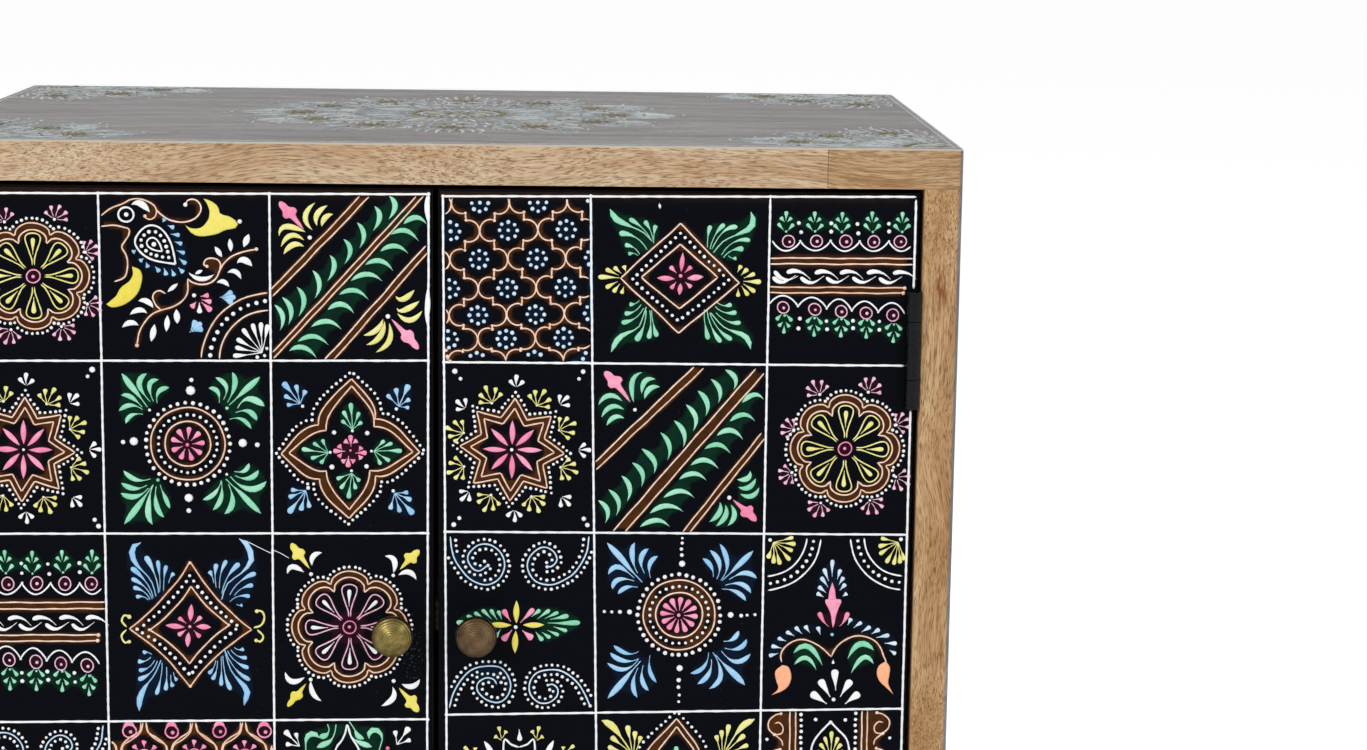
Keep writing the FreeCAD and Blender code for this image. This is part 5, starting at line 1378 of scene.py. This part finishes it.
def mandala(tile, turns, start, end):
    """A round ornament or part of one: gold flower, filled leaves, open petals, gold clusters and fans of
    leaves, one set to each turn, between rings that run from start to end."""
    for radius, width in ((19.4, 1.3), (26.6, 1.0)):
        tile.line("cream", arc((0, 0), radius, start, end), width)
    fifths = 72.0 * np.arange(5)
    cluster = np.concatenate([[(0, 0)], polar(3.3, fifths), polar(6.0, 36 + fifths)])
    for turn in turns:
        petal = tile.turned(turn)
        petal.strokes("gold", "drop", 3.6, (4.4, 0, 17, 0))
        petal.strokes("cream", "leaf", 1.6, (7, 2.6, 16.6, 4.6), (7, -2.6, 16.6, -4.6))
        petal.dots("gold", (23, 0, 22.4, 3.8, 22.4, -3.8), 2.3)
        petal.strokes("cream", "leaf", 3.0, (30, 0, 49.6, 0), (57, 0, 69, 0, 2.2))
        petal.dots("gold", cluster + (79.6, 0), 2.3)
        petal.strokes("cream", "leaf", 2.1, (88, 0, 113, 0))
        for side in (-1, 1):
            half = petal.flipped(1, side)
            half.curves("cream", 1.2, (53, 1, 55, 7.4, 61, 11.2, 68, 10.6, 72.4, 6, 72.8, 0.8))
            half.curves(
                "cream", 0.8, (56, 3.4, 58.4, 6.8, 62, 8.2, 66.6, 7.8, 69.4, 4.6),
                (29, 3.6, 38, 5.6, 46, 4.4, 51.6, 1.4))
            half.strokes(
                "cream", "leaf", 1.75, (31, 5.8, 41, 9.2, 49.6, 10.2), (52, 11.4, 57, 14.2, 63, 14.8),
                (65.6, 14.6, 71, 16.4, 77, 15.6), (72, 18.4, 80, 20.4, 88, 19.6),
                (85.4, 11.6, 93, 15.4, 102, 15.6), (87.4, 7.4, 97, 11.2, 107, 10.6),
                (88, 3.8, 100, 6.4, 111, 5.6))
            half.dots("cream", (76, 10.6, 80.8, 11.4, 84.8, 22.4, 92, 20.6, 106.6, 15, 115.4, 3.4), 1.9)
            half.dots("gold", (62.6, 4.6, 95, 3.2, 74.6, 20.6), 1.9)


def paint_top():
    """Pots of paint for the top: the middle ornament, a quarter of it in each corner, a ruled edge."""
    pots = defaultdict(Pot)
    middle = (TOP_LOW + TOP_HIGH)[:2] / 2
    half = (TOP_HIGH - TOP_LOW)[:2] / 2
    centre = Tile(pots, middle + (MIDDLE_ASIDE, 0.0), half, MIDDLE_SCALE * np.eye(2))
    mandala(centre, 30.0 * np.arange(12), 0, 360)
    for side in CORNERS:
        turn = -CORNER_SCALE * np.diag(side).astype(float)
        mandala(Tile(pots, middle + (half - CORNER_INSET) * side, half, turn), (17.0, 45.0, 73.0), 4, 86)
    sheet = Tile(pots, middle, half, drift=EDGE_DRIFT)
    for inset in EDGE_INSETS:
        edge = np.array([(-1, -1), (1, -1), (1, 1), (-1, 1), (-1, -1)]) * (half - inset)
        sheet.line("cream", edge, FINE, EDGE_HEIGHT)
    return pots


# Turned knobs


def turned_knob(side):
    """A knob as a profile turned round its axis, in shares of its radius and length: foot, waist, rim and
    low dome, with a ripple left by the tool."""
    low, high = box_mm(side + "_knob")
    centre = (low + high) / 2
    radius = (high[0] - low[0]) / 2
    length = high[1] - low[1]
    foot = np.array([(0.0, 0.0), (0.6, 0.0), (0.66, 0.02), (0.66, 0.09), (0.6, 0.12)])
    waist_up = np.linspace(0, 1, 12)[1:]
    waist_in = 0.6 - 0.17 * np.sin(np.pi * waist_up * 0.62) + 0.35 * waist_up ** 3.2
    waist = np.stack([np.minimum(waist_in, 0.965), 0.12 + 0.48 * waist_up], axis=1)
    rim = np.array([(0.992, 0.625), (1.0, 0.66), (0.998, 0.71), (0.985, 0.745)])
    dome_in = 0.97 * (1 - np.linspace(0, 1, 64)[1:])
    ripple = 0.0022 * np.sin(2 * np.pi * dome_in * radius / TOOL_PITCH) * (dome_in > 0.02)
    dome = np.stack([dome_in, 0.985 - 0.235 * dome_in ** 2 + ripple], axis=1)
    profile = np.concatenate([foot, waist, rim, dome])
    body = profile[1:-1]
    turn = np.linspace(0.0, 2 * np.pi, KNOB_SIDES, endpoint=False)
    rings = np.stack([
        centre[0] + radius * body[:, :1] * np.cos(turn)[None],
        np.broadcast_to(high[1] - length * body[:, 1:], (len(body), KNOB_SIDES)),
        centre[2] + radius * body[:, :1] * np.sin(turn)[None],
    ], axis=-1)
    poles = np.array([(centre[0], high[1] - length * profile[k, 1], centre[2]) for k in (0, -1)])
    corners = np.concatenate([rings.reshape(-1, 3), poles])
    index = np.arange(len(body) * KNOB_SIDES).reshape(len(body), KNOB_SIDES)
    closed = np.hstack([index, index[:, :1]])
    base = np.stack([closed[0, 1:], closed[0, :-1], np.full(KNOB_SIDES, len(corners) - 2)], axis=-1)
    crown = np.stack([closed[-1, :-1], closed[-1, 1:], np.full(KNOB_SIDES, len(corners) - 1)], axis=-1)
    mesh = new_mesh(side + "_turned_knob", corners, [grid_faces(closed.T), base, crown])
    from_axis = np.hypot(corners[:, 0] - centre[0], corners[:, 2] - centre[2])
    keep_values(mesh, "tool_turns", from_axis / TOOL_PITCH)
    # Share of the radius from the axis, read by the finish to paint shade at the rim
    keep_values(mesh, "rim", from_axis / radius)
    return mesh


# Finishes


def linear(colour):
    """An sRGB hex colour as linear light: the standard curve, with its straight foot."""
    channel = np.array([int(colour[k:k + 2], 16) for k in (1, 3, 5)]) / 255
    light = np.where(channel <= 0.04045, channel / 12.92, ((channel + 0.055) / 1.055) ** 2.4)
    return (*light.tolist(), 1.0)


def add_node(tree, kind, inputs=(), out=0, **settings):
    """Adds a node with its operation and settings, fills its sockets with links, values or hex colours, and
    gives one output."""
    kind, *operation = kind.split()
    node = tree.nodes.new("ShaderNode" + kind)
    for word in operation:
        node.operation = word
    for name, value in settings.items():
        setattr(node, name, value)
    for name, value in dict(inputs).items():
        if isinstance(value, bpy.types.NodeSocket):
            tree.links.new(value, node.inputs[name])
        else:
            node.inputs[name].default_value = linear(value) if isinstance(value, str) else value
    return node.outputs[out]


def finish(name, **sockets):
    """A new material with its shader's plain sockets set by name, and what adds nodes to it."""
    material = bpy.data.materials.new(name)
    material.use_nodes = True
    shader = material.node_tree.nodes["Principled BSDF"]
    for socket, value in sockets.items():
        shader.inputs[socket.replace("_", " ")].default_value = value
    return material, partial(add_node, material.node_tree)


def surface(material, colour, rough, bump):
    """Gives a finish its colour, roughness from a pattern between two limits, and bump from a height, a
    strength and a depth in millimetres."""
    tree = material.node_tree
    links = {
        "Base Color": colour,
        "Roughness": add_node(tree, "MapRange", dict(zip(("Value", "To Min", "To Max"), rough))),
        "Normal": add_node(tree, "Bump", {"Height": bump[0], "Strength": bump[1], "Distance": bump[2] * MM}),
    }
    for socket, value in links.items():
        tree.links.new(value, tree.nodes["Principled BSDF"].inputs[socket])
    return material


def per_mm(*sizes):
    """Scale that makes one unit of a pattern as large as these millimetres."""
    return tuple(1000.0 / size for size in sizes)


def along(grain, length, width):
    """Scale of a pattern that is long along the grain and narrow across it, in millimetres."""
    return per_mm(*(length if axis == grain else width for axis in "xyz"))


# Settings of a Mix node that blends two colours
TINT = {"out": 2, "data_type": "RGBA"}

# Grain of wood: millimetres along and across, detail and roughness of broad streaks, fibres and pores.
# Fibres and pores are finer in the wood, and are drawn as coarse as they need to show
GRAIN = ((130, 12, 4.0, 0.6), (34, 0.9, 3.0, 0.6), (5.4, 0.46, 1.0, 0.5))


def mango(name, grain, pale, mid, dark, pore, stain=None):
    """Planed mango wood, oiled: tan with soft streaks, short brown pores along the grain and a dull sheen.

    With a stain, faces that it says are grey: streaky grey-brown that sinks into the pores."""
    material, add = finish(name, Specular_IOR_Level=0.15)
    coords = add("TexCoord", out="Object")
    drift = add("TexNoise", {"Vector": coords, "Scale": per_mm(150)[0], "Detail": 1.0}, "Color")
    drift = add("VectorMath SUBTRACT", {0: drift, 1: (0.5, 0.5, 0.5)})
    drift = add("VectorMath SCALE", {0: drift, "Scale": 0.055})
    bent = add("VectorMath ADD", {0: coords, 1: drift})
    noises = []
    for length, width, detail, rough in GRAIN:
        place = add("Mapping", {"Vector": bent, "Scale": along(grain, length, width)})
        pattern = {"Vector": place, "Scale": 1.0, "Detail": detail, "Roughness": rough}
        noises.append(add("TexNoise", pattern))
    broad, fibre, dash = noises
    dash = add("MapRange", {"Value": dash, "From Min": 0.52, "From Max": 0.66})
    streak = add("MapRange", {"Value": broad, "From Min": 0.36, "From Max": 0.64})
    colour = add("Mix", {0: streak, 6: pale, 7: mid}, **TINT)
    thread = add("MapRange", {"Value": fibre, "From Min": 0.44, "From Max": 0.7, "To Max": 0.75})
    colour = add("Mix", {0: thread, 6: colour, 7: dark}, **TINT)
    pores = add("Math MULTIPLY", {0: dash, 1: 0.62})
    colour = add("Mix", {0: pores, 6: colour, 7: pore}, **TINT)
    if stain:
        colour = stain(add, coords, colour, streak, thread, dash)
    height = add("Math MULTIPLY", {0: fibre, 1: 0.5})
    height = add("Math SUBTRACT", {0: height, 1: dash})
    return surface(material, colour, (fibre, 0.55, 0.7), (height, 0.35, 0.15))


def grey_stain(add, colour, streak, thread, dash, cover):
    """Grey stain over wood: pale and dark streaks that keep a little of the grain, where cover is one."""
    grey = add("Mix", {0: streak, 6: "#949393", 7: "#7a7675"}, **TINT)
    grey = add("Mix", {0: thread, 6: grey, 7: "#625c59"}, **TINT)
    pores = add("Math MULTIPLY", {0: dash, 1: 0.3})
    grey = add("Mix", {0: pores, 6: grey, 7: "#59504b"}, **TINT)
    return add("Mix", {0: cover, 6: colour, 7: grey}, **TINT)


def top_stain(add, coords, colour, streak, thread, dash):
    """Stain on the top board's upper face and ends, a pale line along the arris between them, painted as
    both wear and highlight, and the fine dark joint where the front lipping was pieced, with a browner piece
    to its right."""
    normal = add("SeparateXYZ", {0: add("TexCoord", out="Normal")}, "Z").node.outputs
    place = add("SeparateXYZ", {0: coords}, "X")
    off = add("Math SUBTRACT", {0: place, 1: JOINT_PLACE * MM})
    browner = add("MapRange", {"Value": off, "From Max": MM, "To Max": 0.3})
    colour = add("Mix", {0: browner, 6: colour, 7: "#a8824e"}, **TINT)
    lines = add("Math MULTIPLY", {0: browner, 1: thread})
    lines = add("Math MULTIPLY", {0: lines, 1: 3.0}, use_clamp=True)
    colour = add("Mix", {0: lines, 6: colour, 7: "#7d5a34"}, **TINT)
    off = add("Math ABSOLUTE", {0: off})
    joint = add("MapRange", {"Value": off, "From Min": 0.35 * MM, "From Max": 0.1 * MM, "To Max": 0.7})
    colour = add("Mix", {0: joint, 6: colour, 7: "#5c3c20"}, **TINT)
    ends = add("Math ABSOLUTE", {0: normal["X"]})
    ends = add("MapRange", {"Value": ends, "From Min": 0.45, "From Max": 0.6})
    face = add("MapRange", {"Value": normal["Z"], "From Min": 0.86, "From Max": 0.92})
    cover = add("Math MAXIMUM", {0: ends, 1: face})
    colour = grey_stain(add, colour, streak, thread, dash, cover)
    # Painted highlight and wear: the rounded arris between the top face and the front edge is coloured pale
    rise = add("MapRange", {"Value": normal["Z"], "From Min": 0.12, "From Max": 0.3})
    rubbed_and_highlight = add("Math SUBTRACT", {0: rise, 1: face})
    rubbed_and_highlight = add("Math MULTIPLY", {0: rubbed_and_highlight, 1: 0.8}, use_clamp=True)
    return add("Mix", {0: rubbed_and_highlight, 6: colour, 7: "#b9b2a5"}, **TINT)


def side_stain(add, coords, colour, streak, thread, dash):
    """Stain on the outer face of a side board, and a red-brown knot on the right stile."""
    normal = add("SeparateXYZ", {0: add("TexCoord", out="Normal")}, "X")
    place = add("SeparateXYZ", {0: coords}, "X")
    away = add("Math SIGN", {0: place})
    away = add("Math MULTIPLY", {0: away, 1: normal})
    cover = add("MapRange", {"Value": away, "From Min": 0.35, "From Max": 0.55})
    wide, high = KNOT_SIZE
    middle = (-KNOT[0] / wide, 0.0, -KNOT[1] / high)
    knot = add("Mapping", {"Vector": coords, "Location": middle, "Scale": per_mm(wide, 1e6, high)})
    knot = add("VectorMath LENGTH", {0: knot}, "Value")
    knot = add("MapRange", {"Value": knot, "From Min": 1.0, "From Max": 0.2, "To Max": 1.0})
    fleck = add("MapRange", {"Value": thread, "From Max": 0.4, "To Min": 0.35})
    knot = add("Math MULTIPLY", {0: knot, 1: fleck})
    colour = add("Mix", {0: knot, 6: colour, 7: "#7f4a28"}, **TINT)
    return grey_stain(add, colour, streak, thread, dash, cover)


def black_paint(name, washes=None):
    """Brushed black house paint: nearly black with a breath of blue, faint brush tracks, dust, a low sheen.

    The ground also carries the painter's thin washes; the slab's edges are rubbed to dark brown."""
    material, add = finish(name, Specular_IOR_Level=0.035)
    coords = add("TexCoord", out="Object")
    brush = add("Mapping", {"Vector": coords, "Scale": per_mm(38, 38, 1.4)})
    brush = add("TexNoise", {"Vector": brush, "Scale": 1.0, "Detail": 3.0})
    colour = add("Mix", {0: brush, 6: "#020307", 7: "#070910"}, **TINT)
    speck = add("TexNoise", {"Vector": coords, "Scale": per_mm(1.1)[0], "Detail": 1.0})
    # Pale scuffs where fingers rubbed the ground beside the left knob
    rubbed_and_highlight = add("Attribute", out="Fac", attribute_name="rubbed_and_highlight")
    speck = add("Math MULTIPLY_ADD", {0: rubbed_and_highlight, 1: 0.17, 2: speck})
    speck = add("MapRange", {"Value": speck, "From Min": 0.76, "From Max": 0.83, "To Max": 0.3})
    colour = add("Mix", {0: speck, 6: colour, 7: "#6d7078"}, **TINT)
    if washes:
        cloud = add("TexNoise", {"Vector": coords, "Scale": per_mm(5)[0], "Detail": 3.0})
        cloud = add("MapRange", {"Value": cloud, "From Min": 0.3, "From Max": 0.6, "To Min": 0.5})
        for wash_name, tone in washes.items():
            cover = add("Attribute", out="Fac", attribute_name=wash_name)
            cover = add("Math MULTIPLY", {0: cover, 1: cloud})
            colour = add("Mix", {0: cover, 6: colour, 7: tone}, **TINT)
    else:
        normal = add("SeparateXYZ", {0: add("TexCoord", out="Normal")}, "Y")
        edge = add("Math ABSOLUTE", {0: normal})
        edge = add("MapRange", {"Value": edge, "From Min": 0.8, "From Max": 0.4})
        colour = add("Mix", {0: edge, 6: colour, 7: "#21150e"}, **TINT)
    return surface(material, colour, (brush, 0.5, 0.7), (brush, 0.25, 0.08))


def cone_paint(name, light, deep):
    """Acrylic squeezed from a cone: opaque, satin, each stroke a little lighter or deeper than the next."""
    material, add = finish(name, Specular_IOR_Level=0.25)
    coords = add("TexCoord", out="Object")
    mottle = add("TexNoise", {"Vector": coords, "Scale": per_mm(2.6)[0], "Detail": 3.0})
    shade = add("Attribute", out="Fac", attribute_name="shade")
    mix = add("Math MULTIPLY_ADD", {0: shade, 1: 0.5, 2: -0.25})
    mix = add("Math ADD", {0: mix, 1: mottle}, use_clamp=True)
    colour = add("Mix", {0: mix, 6: light, 7: deep}, **TINT)
    skin = add("TexNoise", {"Vector": coords, "Scale": per_mm(0.9)[0], "Detail": 2.0})
    return surface(material, colour, (mottle, 0.4, 0.56), (skin, 0.3, 0.08))


def handled_skin(name, bright, dull, rough_low, rough_high, patch_mm, **sockets):
    """Metal, or the plain skin its sockets give, after much handling: two tones in soft patches, roughness
    that follows them and fine scratches.

    Where the mesh counts the turns of a tool, dirt darkens the bottom of every turn, and painted shade
    darkens the rim, standing in for the darker reflection there."""
    material, add = finish(name, **(sockets or {"Metallic": 1.0}))
    coords = add("TexCoord", out="Object")
    size = per_mm(patch_mm)[0]
    patch = add("TexNoise", {"Vector": coords, "Scale": size, "Detail": 4.0, "Roughness": 0.65})
    patch = add("MapRange", {"Value": patch, "From Min": 0.35, "From Max": 0.68})
    colour = add("Mix", {0: patch, 6: bright, 7: dull}, **TINT)
    turns = add("Attribute", out="Fac", attribute_name="tool_turns")
    turns = add("Math MULTIPLY", {0: turns, 1: 2 * np.pi})
    turns = add("Math SINE", {0: turns})
    dirt_and_rim_shade = add("MapRange", {"Value": turns, "From Min": 0.2, "From Max": -1.0, "To Max": 0.42})
    # Painted shade: the outer share of the radius is darkened, standing in for the rim's darker reflection
    rim = add("Attribute", out="Fac", attribute_name="rim")
    rim = add("MapRange", {"Value": rim, "From Min": 0.72, "From Max": 1.0, "To Max": 0.5})
    dirt_and_rim_shade = add("Math ADD", {0: dirt_and_rim_shade, 1: rim}, use_clamp=True)
    colour = add("Mix", {0: dirt_and_rim_shade, 6: colour, 7: "#2a2314"}, **TINT)
    scratch = add("TexNoise", {"Vector": coords, "Scale": 6 * size, "Detail": 2.0})
    return surface(material, colour, (patch, rough_low, rough_high), (scratch, 0.2, 0.05))


# Mango wood: tan, and redder at the sides. Plywood: pale and calm. Beech: pinkish, with short flecks
TAN = ("#d0bb9e", "#bb9a77", "#966f4b", "#5a3920")
RED_TAN = ("#cba97e", "#ad855b", "#876039", "#56341c")
natural_x = mango("planed mango, grain across", "x", *TAN)
natural_z = mango("planed mango, grain upright", "z", *TAN)
stained_top = mango("grey-stained mango top", "x", *TAN, stain=top_stain)
stained_side = mango("grey-stained mango side", "z", *RED_TAN, stain=side_stain)
plywood = mango("birch plywood", "z", "#dcc7a2", "#cfb78f", "#b99c70", "#a0835a")
beech = mango("beech dowel", "z", "#d9b48c", "#caa27a", "#b98c62", "#8a623e")
slab_paint = black_paint("brushed black paint, slab")
WASH_HUES = {"brown": "#4a2a12", "green": "#08291d", "blue": "#091729", "pink": "#2a0d1d", "worn": "#2b1c14"}
ground_paint = black_paint("brushed black paint, washed ground", WASH_HUES)
# Turned brass: dull gold where it tarnished, brown where it was handled
brass = handled_skin("turned brass, tarnished", "#8f7f4c", "#5c512e", 0.24, 0.4, 5.0)
bronze = handled_skin("turned brass, browned", "#6d5841", "#4a3b2a", 0.28, 0.46, 5.0)
# Black enamel with a half gloss, worn duller in patches
ENAMEL_GLOSS = {"Specular_IOR_Level": 0.12}
hinge_paint = handled_skin("black painted steel", "#04070c", "#0b1017", 0.2, 0.34, 4.0, **ENAMEL_GLOSS)
# Zinc plate: cold pale grey, broken shine. Plastic: near black and even. Ferrite: dark grey, dull, gritty
zinc = handled_skin("zinc-plated steel", "#c9ccd0", "#a4a8ae", 0.25, 0.45, 3.0)
plastic = handled_skin("moulded dark plastic", "#1b1b1d", "#232326", 0.45, 0.6, 2.0, Specular_IOR_Level=0.5)
ferrite = handled_skin("sintered ferrite", "#3a3a3d", "#2c2c2f", 0.5, 0.7, 1.5, Specular_IOR_Level=0.4)

# Light and deep tone of each cone paint
PAINT_TONES = {
    "white": ("white", "#fafbfc", "#e9ecef"),
    "orange": ("orange", "#fae6d8", "#e6b391"),
    "apricot": ("apricot", "#fabb94", "#f39a6c"),
    "green": ("green", "#aee8cc", "#76cca2"),
    "blue": ("blue", "#b4daf3", "#82bbe8"),
    "ice": ("ice blue", "#e4eff7", "#bad8ee"),
    "pink": ("pink", "#f9b2cc", "#ea6d99"),
    "rose": ("rose", "#f8d8e5", "#e39ec0"),
    "yellow": ("yellow", "#f0eda6", "#dfd974"),
    "lemon": ("lemon", "#efe47c", "#e2d03e"),
    "cream": ("pale grey-blue", "#c2c9ca", "#646b6d"),
    "gold": ("khaki gold", "#7d7654", "#625c42"),
}
PAINTS = {pot: cone_paint(words + " cone paint", *tones) for pot, (words, *tones) in PAINT_TONES.items()}

NODE_FINISHES = (
    (stained_top, ("top_board",)),
    (stained_side, ("left_side_board", "right_side_board")),
    (natural_x, ("bottom_board", "inner_shelf")),
    (natural_z, ("_leg",)),
    (plywood, ("back_panel",)),
    (beech, ("top_dowels", "bottom_dowels")),
    (slab_paint, ("door_panel",)),
    (brass, ("left_knob",)),
    (bronze, ("right_knob",)),
    (hinge_paint, ("frame_leaf", "door_leaf", "hinge_pin")),
    (zinc, ("screw", "washer", "bolts", "nuts", "pegs", "strike_plate")),
    (plastic, ("glides", "catch_housing")),
    (ferrite, ("magnet",)),
)


def dress_nodes():
    """Gives every node the last finish in the table whose words its name holds."""
    for name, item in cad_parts.items():
        fitting = [material for material, words in NODE_FINISHES if any(word in name for word in words)]
        item.data.materials.clear()
        item.data.materials.append(fitting[-1])


def raised_paint(name, pots, body, place, dot_height):
    """One piece for each colour of paint that stands on a surface."""
    for colour, paint in PAINTS.items():
        if colour in pots:
            mesh = pot_mesh(f"{name}_{colour}_paint", pots[colour], place, dot_height)
            piece(mesh, body, paint)


def dress_door(side, knob_metal):
    """A door's painted ground, its raised paint and its turned knob."""
    body = side + "_door"
    pots = paint_door(side)
    paint_ground(side, pots, ground_paint)
    raised_paint(body, pots, body, on_door, DOOR_DOT_HEIGHT)
    knob = piece(turned_knob(side), body, knob_metal)
    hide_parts(side + "_knob")


dress_nodes()
dress_door("left", brass)
dress_door("right", bronze)
raised_paint("top", paint_top(), "carcass", on_top, TOP_DOT_HEIGHT)


# Floor, light and camera


def seen_plainly(add):
    """One for rays that look at a surface straight, in a mirror or through glass; nought for other light."""
    path = add("LightPath").node.outputs
    seen = add("Math ADD", {0: path["Is Camera Ray"], 1: path["Is Glossy Ray"]})
    return add("Math ADD", {0: seen, 1: path["Is Transmission Ray"]}, use_clamp=True)


def floor():
    """A pale floor that sweeps up far behind: flat, then a quarter circle, carried across."""
    bend = np.linspace(0.15, np.pi / 2, 12)
    flat = np.linspace(-FLOOR_RUN, FLOOR_RUN, 10)
    run = np.concatenate([flat, FLOOR_RUN + FLOOR_BEND * np.sin(bend)])
    rise = np.concatenate([np.zeros(10), FLOOR_BEND - FLOOR_BEND * np.cos(bend)])
    across = np.linspace(-FLOOR_WIDE, FLOOR_WIDE, 8)
    grid = np.stack(np.broadcast_arrays(across[:, None], run[None], rise[None]), axis=-1)
    index = np.arange(grid.size // 3).reshape(grid.shape[:2])
    mesh = new_mesh("studio_floor", grid.reshape(-1, 3) / MM, [grid_faces(index)])
    # Matt studio paper: even and white to the eye, with the shadow of what stands on it
    white = linear("#f2f2f2")
    material, add = finish(
        "matt studio paper", Base_Color=white, Emission_Color=white, Roughness=0.9, Specular_IOR_Level=0.1)
    glow = add("MapRange", {"Value": seen_plainly(add), "To Max": 0.62})
    tree = material.node_tree
    tree.links.new(glow, tree.nodes["Principled BSDF"].inputs["Emission Strength"])
    mesh.materials.append(material)
    in_scene("studio_floor", mesh)


def aimed(name, data, place, right, up, back):
    """A lamp or camera at a place, turned to its three axes."""
    item = in_scene(name, data)
    turn = Matrix(np.stack([right, up, back], axis=1).tolist())
    item.matrix_world = Matrix.Translation(place) @ turn.to_4x4()
    return item


def soft_box(name, place, target, size, power):
    """A square soft lamp at a place, turned to a target."""
    lamp = bpy.data.lights.new(name, "AREA")
    lamp.shape = "SQUARE"
    lamp.size = size
    lamp.energy = power
    back = np.subtract(place, target) / norm(np.subtract(place, target))
    side = np.cross((0.0, 0.0, 1.0), back)
    side /= norm(side)
    aimed(name, lamp, place, side, np.cross(back, side), back)


def world_light():
    """Even pale light all round, and plain white where the camera or a mirror sees past the floor."""
    world = bpy.data.worlds.new("studio")
    world.use_nodes = True
    tree = world.node_tree
    background = tree.nodes["Background"]
    add = partial(add_node, tree)
    strength = add("MapRange", {"Value": seen_plainly(add), "To Min": 0.47, "To Max": 1.0})
    tree.links.new(strength, background.inputs["Strength"])
    background.inputs["Color"].default_value = (1.0, 1.0, 1.0, 1.0)
    bpy.context.scene.world = world


def photo_camera():
    """The photograph's standpoint: yaw, pitch and roll give the view's three axes, the lens its width."""
    yaw, pitch, roll = CAMERA_TURNS
    ahead = np.array([np.sin(yaw) * np.cos(pitch), np.cos(yaw) * np.cos(pitch), -np.sin(pitch)])
    level = np.array([np.cos(yaw), -np.sin(yaw), 0.0])
    upright = np.cross(level, ahead)
    right = np.cos(roll) * level + np.sin(roll) * upright
    up = np.cos(roll) * upright - np.sin(roll) * level
    camera = bpy.data.cameras.new("photo_camera")
    camera.sensor_width = SENSOR
    camera.lens = FOCAL_PIXELS / PHOTO_PIXELS * SENSOR
    camera.clip_end = 100.0
    across, before, height = STANDPOINT
    place = (across * MM, (TOP_LOW[1] - before) * MM, height * MM)
    bpy.context.scene.camera = aimed("photo_camera", camera, place, right, up, -ahead)


floor()
world_light()
soft_box("key_light", (-1.6, -2.4, 2.4), (0.0, 0.0, 0.4), 1.8, 55.0)
soft_box("fill_light", (2.2, -2.0, 1.4), (0.0, 0.0, 0.4), 1.8, 22.0)
soft_box("top_light", (0.2, 0.6, 2.6), (0.0, 0.0, 0.5), 1.6, 14.0)
photo_camera()
bpy.context.scene.view_settings.view_transform = "Standard"
